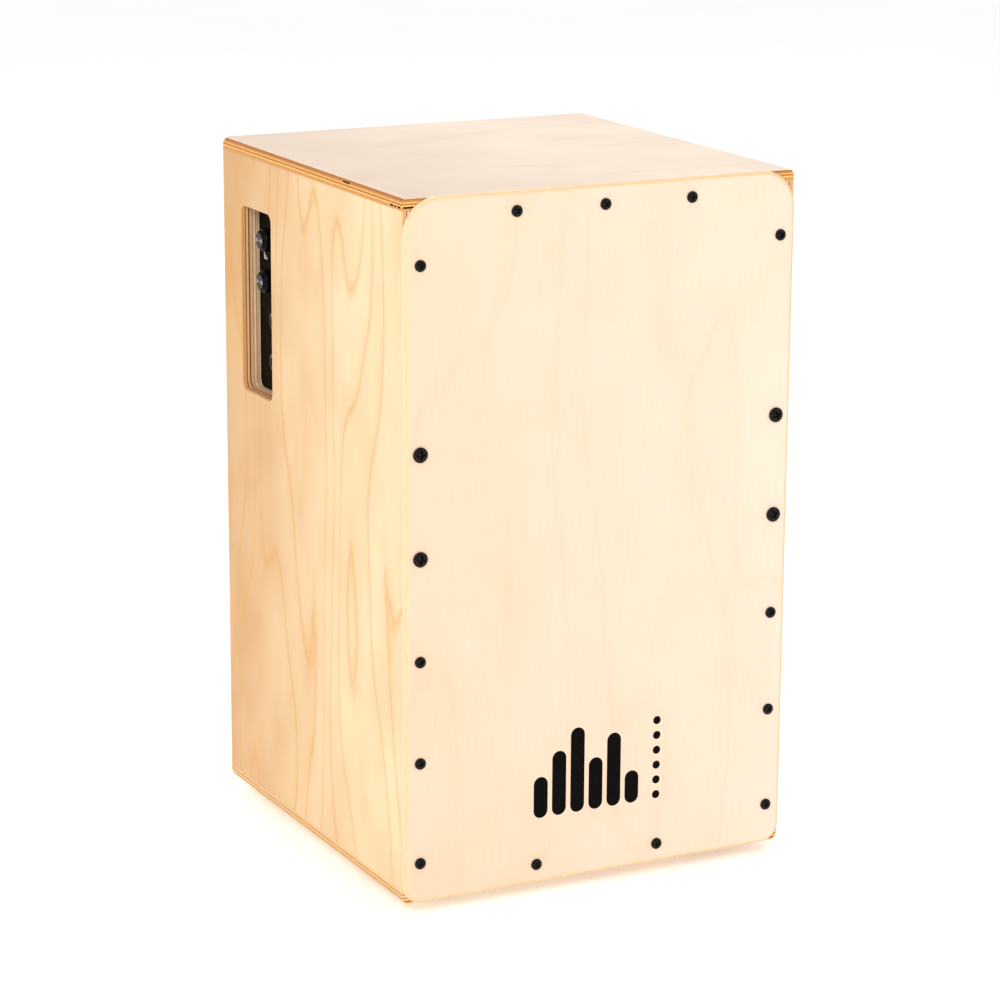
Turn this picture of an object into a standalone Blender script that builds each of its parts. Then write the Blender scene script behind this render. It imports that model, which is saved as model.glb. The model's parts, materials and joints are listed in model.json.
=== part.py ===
"""Cajon with a built-in contact pickup, as separate boards, screws, snares and controls.

Units are metres and +Z is up. The player strikes the plate that faces -Y, and the controls are in the
side towards -X. The origin is the middle of the base of the bounding box, where the feet stand.
"""

from math import cos, pi, radians, sin

import bmesh
import bpy
from mathutils import Matrix, Vector

# Overall size of the wooden box, without its front plate and feet
WIDTH = 0.300
HEIGHT = 0.490
DEPTH = 0.307

# Boards
SIDE_THICKNESS = 0.015
TOP_THICKNESS = 0.0085
BOTTOM_THICKNESS = 0.009
REAR_THICKNESS = 0.009
PLATE_THICKNESS = 0.003
REAR_EDGE_RADIUS = 0.0065
LONG_EDGE_RADIUS = 0.0055
PLATE_EDGE_RADIUS = 0.0024
PLATE_TOP_CORNER = 0.026
PLATE_BOTTOM_CORNER = 0.014
BATTEN_SIZE = 0.020
SOUND_HOLE_DIAMETER = 0.110
SOUND_HOLE_RISE = 0.245  # centre above the underside of the box

# Fits
GAP = 0.0003  # between faces that touch
HOLE_CLEARANCE = 0.0003  # all round a shank or a shaft

# Screws of the front plate
COLUMN_FROM_INSIDE = 0.003  # from the side board's inner face out to the column
COLUMN_FIRST = 0.0294  # lowest screw above the bottom edge
COLUMN_PITCH = 0.072
COLUMN_COUNT = 5
COLUMN_TOP_DROP = 0.0451  # highest screw of a column below the top edge
LARGE_HEADS = (3, 4)  # places in the column, counted from the lowest, that take a large head
TOP_ROW_DROP = 0.0053  # below the top panel's underside
TOP_ROW_PITCH = 0.067
BOTTOM_ROW_RISE = 0.0050  # above the bottom panel
BOTTOM_ROW_PITCH = 0.096
SHANK_RADIUS = 0.00175
SHANK_LENGTH = 0.019
SMALL_HEAD_RADIUS = 0.004
SMALL_HEAD_RISE = 0.0020
LARGE_HEAD_RADIUS = 0.00525
LARGE_HEAD_RISE = 0.0026
HEAD_RIM = 0.45  # share of a head's rise that is its straight rim

# Feet
FOOT_HEIGHT = 0.010
FOOT_TOP_RADIUS = 0.013
FOOT_BASE_RADIUS = 0.011
FOOT_INSET = 0.041  # centre of a foot from the box's sides, front and rear
FOOT_BASE_CHAMFER = 0.0008
FOOT_WEB = 0.004  # rubber that the screw's head pulls on
FOOT_POCKET_RADIUS = 0.0055
FOOT_HEAD_RADIUS = 0.0042
FOOT_HEAD_RISE = 0.0022
FOOT_SCREW_BITE = 0.0065  # length in the bottom panel

# Snares
RAIL_SIZE = 0.018
RAIL_DROP = 0.174  # its centre below the top of the box
RAIL_SETBACK = 0.006  # from the plate's back to the rail
SNARE_OFFSET = 0.062  # middle of each set from the middle of the box
SNARE_WIRES = 10
SNARE_END_MARGIN = 0.0028  # outermost wires from the ends of the clip
SNARE_TIP_DROP = 0.0216  # tips below the top batten
SNARE_COIL_RADIUS = 0.0011
CLIP_WIDTH = 0.047
CLIP_HEIGHT = 0.016
CLIP_THICKNESS = 0.0012
CLIP_HEAD_RADIUS = 0.003
CLIP_HEAD_RISE = 0.0014
CLIP_SCREW_LENGTH = 0.012

# Control recess in the left side
RECESS_WIDTH = 0.054
RECESS_HEIGHT = 0.135
RECESS_CORNER = 0.006
RECESS_FROM_REAR = 0.0631  # its centre from the rear of the box
RECESS_DROP = 0.1129  # its centre below the top of the box
PANEL_FLANGE = 0.010
PANEL_THICKNESS = 0.002
PANEL_SCREW_INSET = 0.005
PANEL_HEAD_RADIUS = 0.0028
PANEL_HEAD_RISE = 0.0014
PANEL_SCREW_BITE = 0.009

# Controls, evenly spaced down the recess: two knobs and then two sockets
CONTROL_TOP_MARGIN = 0.022
CONTROL_BOTTOM_MARGIN = 0.0225
KNOB_RADIUS = 0.0085
KNOB_LENGTH = 0.0115
KNOB_LIFT = 0.0008  # air under the knob
KNOB_CHAMFER = 0.0022
KNOB_BORE_DEPTH = 0.008
CAP_RIM = 0.0005  # flat of the knob's face around the cap
CAP_THICKNESS = 0.0008
CAP_PROUD = 0.0002
SHAFT_RADIUS = 0.003
SHAFT_BITE = 0.004  # length inside the can
POT_RADIUS = 0.008
POT_DEPTH = 0.009
JACK_RADIUS = 0.0075
JACK_DEPTH = 0.022
JACK_BORE_RADIUS = 0.00325
JACK_BORE_DEPTH = 0.020
BUSHING_RADIUS = 0.0047
NUT_THICKNESS = 0.002
NUT_RADIUS = 0.0072
THREAD_PROUD = 0.0007  # thread beyond the nut

# Preamp behind the panel
HOUSING_WALL = 0.002
BOARD_THICKNESS = 0.0016
BOARD_SIDE_GAP = 0.0025  # to the housing's walls
BOARD_END_MARGIN = 0.0145  # beyond the axes of both rotary controls
BATTERY_SIZE = (0.0175, 0.0265, 0.0485)
BATTERY_CORNER = 0.002
BATTERY_GAP = 0.0015  # to the circuit board

# Pickup and its lead
DISC_RADIUS = 0.0135
DISC_THICKNESS = 0.0006
CERAMIC_RADIUS = 0.010
CERAMIC_THICKNESS = 0.0004
DISC_X = -0.050
DISC_BELOW_RAIL = 0.066
LEAD_RADIUS = 0.0013
LEAD_HOLE_CLEARANCE = 0.0005

# Facets
EDGE_SEGMENTS = 4
CORNER_SEGMENTS = 10
PLATE_EDGE_SEGMENTS = 3
TURNED_STEPS = 20
KNOB_STEPS = 32
SCREW_STEPS = 12
DOME_STEPS = 3
HOLE_SIDES = 12
SNARE_SIDES = 6
SOUND_HOLE_SIDES = 64
LEAD_POINTS_PER_SPAN = 4

# Planes and centres that follow
TOTAL_DEPTH = LARGE_HEAD_RISE + PLATE_THICKNESS + GAP + DEPTH
FACE_Y = -TOTAL_DEPTH / 2 + LARGE_HEAD_RISE
PLATE_BACK_Y = FACE_Y + PLATE_THICKNESS
FRONT_Y = PLATE_BACK_Y + GAP
REAR_Y = FRONT_Y + DEPTH
BASE_Z = FOOT_HEIGHT
TOP_Z = BASE_Z + HEIGHT
SIDE_LOW_Z = BASE_Z + BOTTOM_THICKNESS + GAP
SIDE_HIGH_Z = TOP_Z - TOP_THICKNESS - GAP
INNER_X = WIDTH / 2 - SIDE_THICKNESS
RECESS_Y = REAR_Y - RECESS_FROM_REAR
RECESS_Z = TOP_Z - RECESS_DROP
PANEL_FRONT_X = -INNER_X + GAP
PANEL_BACK_X = PANEL_FRONT_X + PANEL_THICKNESS
PANEL_HALF_Y = RECESS_WIDTH / 2 + PANEL_FLANGE
PANEL_HALF_Z = RECESS_HEIGHT / 2 + PANEL_FLANGE
BEHIND_PANEL_X = PANEL_BACK_X + GAP
BOARD_X = BEHIND_PANEL_X + POT_DEPTH + GAP
BATTERY_X = BOARD_X + BOARD_THICKNESS + BATTERY_GAP
HOUSING_INNER_X = BATTERY_X + BATTERY_SIZE[0] + GAP
HOUSING_HALF_Y = RECESS_WIDTH / 2 + HOUSING_WALL / 2
HOUSING_HALF_Z = RECESS_HEIGHT / 2 + HOUSING_WALL / 2
CONTROL_TOP_Z = RECESS_Z + RECESS_HEIGHT / 2 - CONTROL_TOP_MARGIN
CONTROL_PITCH = (RECESS_HEIGHT - CONTROL_TOP_MARGIN - CONTROL_BOTTOM_MARGIN) / 3
VOLUME_Z, TONE_Z, UPPER_JACK_Z, LOWER_JACK_Z = (CONTROL_TOP_Z - i * CONTROL_PITCH for i in range(4))

LOOKS = {  # colour, roughness, metallic
    "side veneer": ((0.83, 0.62, 0.38), 0.45, 0.0),
    "seat veneer": ((0.85, 0.70, 0.53), 0.40, 0.0),
    "plate veneer": ((0.91, 0.78, 0.60), 0.45, 0.0),
    "solid wood": ((0.70, 0.50, 0.30), 0.60, 0.0),
    "black steel": ((0.02, 0.02, 0.02), 0.35, 1.0),
    "zinc steel": ((0.62, 0.62, 0.60), 0.35, 1.0),
    "nickel": ((0.72, 0.70, 0.66), 0.25, 1.0),
    "aluminium": ((0.75, 0.75, 0.76), 0.30, 1.0),
    "black rubber": ((0.02, 0.02, 0.02), 0.80, 0.0),
    "black plastic": ((0.015, 0.015, 0.015), 0.45, 0.0),
    "black panel": ((0.01, 0.01, 0.01), 0.30, 0.0),
    "green laminate": ((0.03, 0.16, 0.07), 0.45, 0.0),
    "brass": ((0.75, 0.55, 0.25), 0.35, 1.0),
}


def clear_scene():
    """Removes every object that the file starts with."""
    for obj in list(bpy.data.objects):
        bpy.data.objects.remove(obj, do_unlink=True)


def new_collection(name):
    """A collection in the scene."""
    collection = bpy.data.collections.new(name)
    bpy.context.scene.collection.children.link(collection)
    return collection


def new_material(name, look):
    """A Principled material with one of the looks."""
    colour, roughness, metallic = LOOKS[look]
    material = bpy.data.materials.new(name)
    material.use_nodes = True
    shader = material.node_tree.nodes["Principled BSDF"]
    shader.inputs["Base Color"].default_value = (*colour, 1.0)
    shader.inputs["Roughness"].default_value = roughness
    shader.inputs["Metallic"].default_value = metallic
    return material


def add_part(name, data, look):
    """An object of the cajon. A piece that shares its data with another also shares its material."""
    obj = bpy.data.objects.new(name, data)
    if not data.materials:
        data.materials.append(new_material(f"{name} {look}", look))
    CAJON.objects.link(obj)
    return obj


def add_cutter(name, mesh):
    """A helper that only takes part in a Boolean."""
    obj = bpy.data.objects.new(name, mesh)
    obj.hide_render = True
    obj.display_type = "WIRE"
    CUTTERS.objects.link(obj)
    return obj


def combine(obj, other, operation):
    """Cuts or joins a part with a helper."""
    modifier = obj.modifiers.new(other.name, "BOOLEAN")
    modifier.operation = operation
    modifier.solver = "EXACT"
    modifier.object = other


def mesh_from(bm, name):
    """Stores a bmesh as a mesh."""
    mesh = bpy.data.meshes.new(name)
    bm.to_mesh(mesh)
    bm.free()
    return mesh


def box_mesh(name, size):
    """A box around its own centre."""
    bm = bmesh.new()
    bmesh.ops.create_cube(bm, size=1.0, matrix=Matrix.Diagonal((*size, 1.0)))
    return mesh_from(bm, name)


def board(name, low, high, look):
    """A rectangular board between two corners, with its origin in its middle."""
    low = Vector(low)
    high = Vector(high)
    obj = add_part(name, box_mesh(name, high - low), look)
    obj.location = (low + high) / 2
    return obj


def round_edges(obj, radii):
    """Rounds a board's edges. An edge is named by its place: (-1, 1, 0) is at low X and high Y, along Z."""
    largest = max(radii.values())
    mesh = obj.data
    weights = mesh.attributes.new("bevel_weight_edge", "FLOAT", "EDGE")
    for edge in mesh.edges:
        middle = sum((mesh.vertices[i].co for i in edge.vertices), Vector()) / 2
        place = tuple((c > GAP) - (c < -GAP) for c in middle)
        weights.data[edge.index].value = radii.get(place, 0.0) / largest
    modifier = obj.modifiers.new("Rounded edges", "BEVEL")
    modifier.limit_method = "WEIGHT"
    modifier.width = largest
    modifier.segments = EDGE_SEGMENTS


def runs_along(edge, axis):
    """Whether an edge of a box runs along an axis: 0 is X, 1 is Y and 2 is Z."""
    return abs(edge.verts[0].co[axis] - edge.verts[1].co[axis]) > GAP


def add_cylinder(bm, start, end, radius, sides):
    """Adds a closed cylinder between two points to a bmesh."""
    start = Vector(start)
    axis = Vector(end) - start
    turn = axis.to_track_quat("Z", "Y").to_matrix().to_4x4()
    bmesh.ops.create_cone(
        bm,
        cap_ends=True,
        segments=sides,
        radius1=radius,
        radius2=radius,
        depth=axis.length,
        matrix=Matrix.Translation(start + axis / 2) @ turn,
    )


def drill(obj, name, holes, sides=HOLE_SIDES):
    """Cuts round holes, each given as start, end and radius."""
    bm = bmesh.new()
    for start, end, radius in holes:
        add_cylinder(bm, start, end, radius, sides)
    combine(obj, add_cutter(name, mesh_from(bm, name)), "DIFFERENCE")


def evaluated_mesh(obj, name):
    """The mesh that an object's modifiers give. The object itself is removed."""
    bpy.context.scene.collection.objects.link(obj)
    graph = bpy.context.evaluated_depsgraph_get()
    mesh = bpy.data.meshes.new_from_object(obj.evaluated_get(graph))
    mesh.name = name
    bpy.data.objects.remove(obj, do_unlink=True)
    return mesh


def turned_mesh(name, profile, closed=False, steps=TURNED_STEPS):
    """A turned shape around Z. The profile is (radius, height) pairs down the outer side."""
    count = len(profile)
    edges = [(i, i + 1) for i in range(count - 1)]
    if closed:
        edges.append((count - 1, 0))
    outline = bpy.data.meshes.new(name)
    outline.from_pydata([(radius, 0.0, height) for radius, height in profile], edges, [])
    obj = bpy.data.objects.new(name, outline)
    modifier = obj.modifiers.new("Turn", "SCREW")
    modifier.steps = steps
    modifier.render_steps = steps
    modifier.use_merge_vertices = True
    modifier.merge_threshold = 0.00001
    mesh = evaluated_mesh(obj, name)
    mesh.shade_smooth()
    mesh.set_sharp_from_angle(angle=radians(35))
    return mesh


def place(obj, position, direction):
    """Puts an object's origin at a point, with its Z axis along a direction."""
    obj.location = position
    obj.rotation_euler = Vector(direction).to_track_quat("Z", "Y").to_euler()
    return obj


def screw_mesh(name, head_radius, head_rise, shank_radius, length):
    """A screw with a domed head. Its origin is under the head, and its shank runs along -Z."""
    dome = [
        (head_radius * sin(angle), head_rise * (HEAD_RIM + (1 - HEAD_RIM) * cos(angle)))
        for angle in (i * pi / (2 * DOME_STEPS) for i in range(DOME_STEPS + 1))
    ]
    tip = 2 * shank_radius
    shank = [(head_radius, 0.0), (shank_radius, 0.0), (shank_radius, tip - length), (0.0, -length)]
    return turned_mesh(name, dome + shank, steps=SCREW_STEPS)


def plate_screws():
    """Each screw of the front plate: name, X, height above the bottom edge, whether its head is large."""
    column = [COLUMN_FIRST + i * COLUMN_PITCH for i in range(COLUMN_COUNT)]
    column.append(HEIGHT - COLUMN_TOP_DROP)
    places = []
    for side, sx in (("left", -1), ("right", 1)):
        for i, rise in enumerate(column):
            x = sx * (INNER_X + COLUMN_FROM_INSIDE)
            places.append((f"plate_screw_{side}_{i + 1}", x, rise, i in LARGE_HEADS))
    for i in range(3):
        x = (i - 1) * TOP_ROW_PITCH
        places.append((f"plate_screw_top_{i + 1}", x, HEIGHT - TOP_THICKNESS - TOP_ROW_DROP, False))
    for i in range(2):
        x = (i - 0.5) * BOTTOM_ROW_PITCH
        places.append((f"plate_screw_bottom_{i + 1}", x, BOTTOM_THICKNESS + BOTTOM_ROW_RISE, False))
    return places


def pilot_holes(belongs):
    """The holes behind the plate for the screws whose name starts with a word."""
    radius = SHANK_RADIUS + HOLE_CLEARANCE
    end_y = FACE_Y + SHANK_LENGTH + HOLE_CLEARANCE
    return [
        ((x, FRONT_Y - GAP, BASE_Z + rise), (x, end_y, BASE_Z + rise), radius)
        for name, x, rise, _ in plate_screws()
        if name.startswith(f"plate_screw_{belongs}")
    ]


def foot_centres():
    """Name and position of each foot's centre on the floor."""
    x = WIDTH / 2 - FOOT_INSET
    return [
        (f"{depth}_{side}", Vector((sx * x, y, 0.0)))
        for depth, y in (("front", FRONT_Y + FOOT_INSET), ("rear", REAR_Y - FOOT_INSET))
        for side, sx in (("left", -1), ("right", 1))
    ]


def build_top_panel():
    """The seat, which lies over the side panels."""
    low = (-WIDTH / 2, FRONT_Y, TOP_Z - TOP_THICKNESS)
    obj = board("top_panel", low, (WIDTH / 2, REAR_Y, TOP_Z), "seat veneer")
    radii = {(0, 1, 1): REAR_EDGE_RADIUS}
    for side in (-1, 1):
        radii[(side, 1, 0)] = REAR_EDGE_RADIUS
        radii[(side, 0, 1)] = LONG_EDGE_RADIUS
    round_edges(obj, radii)


def build_bottom_panel():
    """The underside, which lies under the side panels and takes the foot screws."""
    low = (-WIDTH / 2, FRONT_Y, BASE_Z)
    high = (WIDTH / 2, REAR_Y, BASE_Z + BOTTOM_THICKNESS)
    obj = board("bottom_panel", low, high, "side veneer")
    radii = {(0, 1, -1): REAR_EDGE_RADIUS}
    for side in (-1, 1):
        radii[(side, 1, 0)] = REAR_EDGE_RADIUS
        radii[(side, 0, -1)] = LONG_EDGE_RADIUS
    round_edges(obj, radii)
    rise = Vector((0.0, 0.0, BASE_Z - GAP))
    bite = Vector((0.0, 0.0, GAP + FOOT_SCREW_BITE + HOLE_CLEARANCE))
    holes = [
        (centre + rise, centre + rise + bite, SHANK_RADIUS + HOLE_CLEARANCE)
        for _, centre in foot_centres()
    ]
    drill(obj, "foot_pilot_holes", holes)


def build_side_panel(name, side):
    """A side board: side is -1 for the left, which has the recess, and 1 for the right."""
    inner = side * INNER_X
    outer = side * WIDTH / 2
    low = (min(inner, outer), FRONT_Y, SIDE_LOW_Z)
    high = (max(inner, outer), REAR_Y, SIDE_HIGH_Z)
    obj = board(name, low, high, "side veneer")
    round_edges(obj, {(side, 1, 0): REAR_EDGE_RADIUS})
    drill(obj, f"{name}_pilot_holes", pilot_holes("left" if side < 0 else "right"))
    return obj


def cut_recess(obj):
    """Cuts the opening with rounded corners, and the pilot holes of the control panel."""
    bm = bmesh.new()
    size = (2 * SIDE_THICKNESS, RECESS_WIDTH, RECESS_HEIGHT, 1.0)
    bmesh.ops.create_cube(bm, size=1.0, matrix=Matrix.Diagonal(size))
    corners = [e for e in bm.edges if runs_along(e, 0)]
    bmesh.ops.bevel(
        bm,
        geom=corners,
        offset=RECESS_CORNER,
        segments=CORNER_SEGMENTS // 2,
        profile=0.5,
        affect="EDGES",
    )
    cutter = add_cutter("recess_cutter", mesh_from(bm, "recess_cutter"))
    cutter.location = (-WIDTH / 2 + SIDE_THICKNESS / 2, RECESS_Y, RECESS_Z)
    combine(obj, cutter, "DIFFERENCE")
    reach = PANEL_SCREW_BITE + HOLE_CLEARANCE
    holes = [
        ((-INNER_X + GAP, y, z), (-INNER_X - reach, y, z), SHANK_RADIUS + HOLE_CLEARANCE)
        for _, y, z in panel_screw_places()
    ]
    drill(obj, "panel_pilot_holes", holes)


def build_rear_panel():
    """The board between the side panels, with the sound hole."""
    low = (-INNER_X + GAP, REAR_Y - REAR_THICKNESS, SIDE_LOW_Z)
    high = (INNER_X - GAP, REAR_Y, SIDE_HIGH_Z)
    obj = board("rear_panel", low, high, "side veneer")
    z = BASE_Z + SOUND_HOLE_RISE
    start = (0.0, REAR_Y - 2 * REAR_THICKNESS, z)
    end = (0.0, REAR_Y + REAR_THICKNESS, z)
    drill(obj, "sound_hole", [(start, end, SOUND_HOLE_DIAMETER / 2)], SOUND_HOLE_SIDES)


def build_battens():
    """The strips behind the plate's top and bottom edges, where their screws bite."""
    x = INNER_X - GAP
    high_z = SIDE_HIGH_Z
    low_z = SIDE_LOW_Z
    for name, bottom in (("top", high_z - BATTEN_SIZE), ("bottom", low_z)):
        low = (-x, FRONT_Y, bottom)
        high = (x, FRONT_Y + BATTEN_SIZE, bottom + BATTEN_SIZE)
        obj = board(f"{name}_batten", low, high, "solid wood")
        drill(obj, f"{name}_batten_pilot_holes", pilot_holes(name))


def build_front_plate():
    """The thin struck plate, with large corners at the top, a rounded front edge and its screw holes."""
    bm = bmesh.new()
    size = (WIDTH, PLATE_THICKNESS, HEIGHT, 1.0)
    bmesh.ops.create_cube(bm, size=1.0, matrix=Matrix.Diagonal(size))
    for sign, radius in ((1, PLATE_TOP_CORNER), (-1, PLATE_BOTTOM_CORNER)):
        end = HEIGHT / 2 - GAP
        corners = [e for e in bm.edges if runs_along(e, 1) and sign * e.verts[0].co.z > end]
        bmesh.ops.bevel(
            bm,
            geom=corners,
            offset=radius,
            segments=CORNER_SEGMENTS,
            profile=0.5,
            affect="EDGES",
        )
    front = -PLATE_THICKNESS / 2 + GAP
    outline = [e for e in bm.edges if e.verts[0].co.y < front and e.verts[1].co.y < front]
    bmesh.ops.bevel(
        bm,
        geom=outline,
        offset=PLATE_EDGE_RADIUS,
        segments=PLATE_EDGE_SEGMENTS,
        profile=0.5,
        affect="EDGES",
    )
    obj = add_part("front_plate", mesh_from(bm, "front_plate"), "plate veneer")
    obj.location = (0.0, FACE_Y + PLATE_THICKNESS / 2, BASE_Z + HEIGHT / 2)
    holes = [
        (
            (x, FACE_Y - PLATE_THICKNESS, BASE_Z + rise),
            (x, PLATE_BACK_Y + PLATE_THICKNESS, BASE_Z + rise),
            SHANK_RADIUS + HOLE_CLEARANCE,
        )
        for _, x, rise, _ in plate_screws()
    ]
    drill(obj, "plate_holes", holes)


def build_plate_screws():
    """The black screws of the front plate, in two sizes of head."""
    length = SHANK_LENGTH + GAP
    small = screw_mesh("small_plate_screw", SMALL_HEAD_RADIUS, SMALL_HEAD_RISE - GAP, SHANK_RADIUS, length)
    large = screw_mesh("large_plate_screw", LARGE_HEAD_RADIUS, LARGE_HEAD_RISE - GAP, SHANK_RADIUS, length)
    for name, x, rise, is_large in plate_screws():
        obj = add_part(name, large if is_large else small, "black steel")
        place(obj, (x, FACE_Y - GAP, BASE_Z + rise), (0, -1, 0))


def build_feet():
    """The rubber feet and the screws up through them."""
    high = FOOT_HEIGHT - GAP
    hole = SHANK_RADIUS + HOLE_CLEARANCE
    profile = [
        (hole, high),
        (FOOT_TOP_RADIUS, high),
        (FOOT_BASE_RADIUS + FOOT_BASE_CHAMFER, FOOT_BASE_CHAMFER),
        (FOOT_BASE_RADIUS, 0.0),
        (FOOT_POCKET_RADIUS, 0.0),
        (FOOT_POCKET_RADIUS, high - FOOT_WEB),
        (hole, high - FOOT_WEB),
    ]
    rubber = turned_mesh("foot", profile, closed=True)
    length = FOOT_WEB + 2 * GAP + FOOT_SCREW_BITE
    steel = screw_mesh("foot_screw", FOOT_HEAD_RADIUS, FOOT_HEAD_RISE, SHANK_RADIUS, length)
    for name, centre in foot_centres():
        add_part(f"foot_{name}", rubber, "black rubber").location = centre
        screw = add_part(f"foot_screw_{name}", steel, "zinc steel")
        place(screw, centre + Vector((0.0, 0.0, high - FOOT_WEB - GAP)), (0, 0, -1))


def build_snares():
    """The rail between the side panels and two sets of snare wires that lean against the plate."""
    half_x = INNER_X - GAP
    rail_y = PLATE_BACK_Y + RAIL_SETBACK
    rail_z = TOP_Z - RAIL_DROP
    low = (-half_x, rail_y, rail_z - RAIL_SIZE / 2)
    high = (half_x, rail_y + RAIL_SIZE, rail_z + RAIL_SIZE / 2)
    rail = board("snare_rail", low, high, "solid wood")
    clip_y = rail_y - GAP - CLIP_THICKNESS
    screw_z = rail_z - CLIP_HEIGHT / 4
    head = screw_mesh("clip_screw", CLIP_HEAD_RADIUS, CLIP_HEAD_RISE, SHANK_RADIUS, CLIP_SCREW_LENGTH)
    pitch = (CLIP_WIDTH - 2 * SNARE_END_MARGIN) / (SNARE_WIRES - 1)
    start_y = clip_y - SNARE_COIL_RADIUS / 2
    start_z = rail_z + SNARE_COIL_RADIUS
    tip_y = PLATE_BACK_Y + GAP + SNARE_COIL_RADIUS
    tip_z = SIDE_HIGH_Z - BATTEN_SIZE - SNARE_TIP_DROP
    pilots = []
    for name, middle in (("left", -SNARE_OFFSET), ("right", SNARE_OFFSET)):
        low = (middle - CLIP_WIDTH / 2, clip_y, rail_z - CLIP_HEIGHT / 2)
        high = (middle + CLIP_WIDTH / 2, clip_y + CLIP_THICKNESS, rail_z + CLIP_HEIGHT / 2)
        snare = board(f"snare_wires_{name}", low, high, "zinc steel")
        bm = bmesh.new()
        for i in range(SNARE_WIRES):
            x = middle + (i - (SNARE_WIRES - 1) / 2) * pitch
            add_cylinder(bm, (x, start_y, start_z), (x, tip_y, tip_z), SNARE_COIL_RADIUS, SNARE_SIDES)
        wires = add_cutter(f"wires_{name}", mesh_from(bm, f"wires_{name}"))
        combine(snare, wires, "UNION")
        end_y = clip_y - GAP + CLIP_SCREW_LENGTH
        radius = SHANK_RADIUS + HOLE_CLEARANCE
        through = ((middle, clip_y - GAP, screw_z), (middle, end_y + HOLE_CLEARANCE, screw_z), radius)
        drill(snare, f"clip_hole_{name}", [through])
        pilots.append(through)
        screw = add_part(f"snare_screw_{name}", head, "zinc steel")
        place(screw, (middle, clip_y - GAP, screw_z), (0, -1, 0))
    drill(rail, "rail_pilot_holes", pilots)


def panel_screw_places():
    """Name, Y and Z of the four screws in the control panel's flange."""
    y = PANEL_HALF_Y - PANEL_SCREW_INSET
    z = PANEL_HALF_Z - PANEL_SCREW_INSET
    return [
        (f"panel_screw_{height}_{depth}", RECESS_Y + sy * y, RECESS_Z + sz * z)
        for height, sz in (("upper", 1), ("lower", -1))
        for depth, sy in (("front", -1), ("rear", 1))
    ]


def build_control_panel():
    """The black sheet behind the recess, with holes for the shafts, the sockets and its four screws."""
    low = (PANEL_FRONT_X, RECESS_Y - PANEL_HALF_Y, RECESS_Z - PANEL_HALF_Z)
    high = (PANEL_BACK_X, RECESS_Y + PANEL_HALF_Y, RECESS_Z + PANEL_HALF_Z)
    obj = board("control_panel", low, high, "black panel")
    start_x = PANEL_FRONT_X - PANEL_THICKNESS
    end_x = PANEL_BACK_X + PANEL_THICKNESS
    places = [(RECESS_Y, z, SHAFT_RADIUS) for z in (VOLUME_Z, TONE_Z)]
    places += [(RECESS_Y, z, BUSHING_RADIUS) for z in (UPPER_JACK_Z, LOWER_JACK_Z)]
    places += [(y, z, SHANK_RADIUS) for _, y, z in panel_screw_places()]
    holes = [
        ((start_x, y, z), (end_x, y, z), radius + HOLE_CLEARANCE)
        for y, z, radius in places
    ]
    drill(obj, "panel_holes", holes, TURNED_STEPS)
    length = PANEL_THICKNESS + 2 * GAP + PANEL_SCREW_BITE
    steel = screw_mesh("panel_screw", PANEL_HEAD_RADIUS, PANEL_HEAD_RISE, SHANK_RADIUS, length)
    for name, y, z in panel_screw_places():
        screw = add_part(name, steel, "zinc steel")
        place(screw, (PANEL_BACK_X + GAP, y, z), (1, 0, 0))


def build_control(name, z, meshes):
    """A rotary control: its can, and the shaft, knob and cap that turn on the axis of an empty."""
    can, shaft, knob, cap = meshes
    outwards = (-1, 0, 0)
    place(add_part(f"{name}_pot", can, "zinc steel"), (BEHIND_PANEL_X, RECESS_Y, z), outwards)
    axis = bpy.data.objects.new(f"{name}_axis", None)
    CAJON.objects.link(axis)
    place(axis, (PANEL_FRONT_X - KNOB_LIFT, RECESS_Y, z), outwards)
    pieces = (("shaft", shaft, "nickel"), ("knob", knob, "black plastic"), ("knob_cap", cap, "aluminium"))
    for piece, mesh, look in pieces:
        add_part(f"{name}_{piece}", mesh, look).parent = axis


def build_controls():
    """Both rotary controls. Their meshes have the control's axis on Z, and the knob's underside at 0."""
    shaft_hole = SHAFT_RADIUS + HOLE_CLEARANCE
    can = turned_mesh(
        "pot_can",
        [
            (0.0, -SHAFT_BITE - GAP),
            (shaft_hole, -SHAFT_BITE - GAP),
            (shaft_hole, 0.0),
            (POT_RADIUS, 0.0),
            (POT_RADIUS, -POT_DEPTH),
            (0.0, -POT_DEPTH),
        ],
    )
    shaft_top = KNOB_BORE_DEPTH - GAP
    shaft_foot = -KNOB_LIFT - PANEL_THICKNESS - GAP - SHAFT_BITE
    shaft = turned_mesh(
        "control_shaft",
        [(0.0, shaft_top), (SHAFT_RADIUS, shaft_top), (SHAFT_RADIUS, shaft_foot), (0.0, shaft_foot)],
    )
    face = KNOB_LENGTH
    seat = face + CAP_PROUD - CAP_THICKNESS
    cap_radius = KNOB_RADIUS - KNOB_CHAMFER - CAP_RIM
    knob = turned_mesh(
        "control_knob",
        [
            (0.0, seat - GAP),
            (cap_radius + GAP, seat - GAP),
            (cap_radius + GAP, face),
            (KNOB_RADIUS - KNOB_CHAMFER, face),
            (KNOB_RADIUS, face - KNOB_CHAMFER),
            (KNOB_RADIUS, 0.0),
            (shaft_hole, 0.0),
            (shaft_hole, KNOB_BORE_DEPTH),
            (0.0, KNOB_BORE_DEPTH),
        ],
        steps=KNOB_STEPS,
    )
    cap_top = seat + CAP_THICKNESS
    cap = turned_mesh(
        "control_cap",
        [(0.0, cap_top), (cap_radius, cap_top), (cap_radius, seat), (0.0, seat)],
        steps=KNOB_STEPS,
    )
    meshes = (can, shaft, knob, cap)
    build_control("volume", VOLUME_Z, meshes)
    build_control("tone", TONE_Z, meshes)


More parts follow.
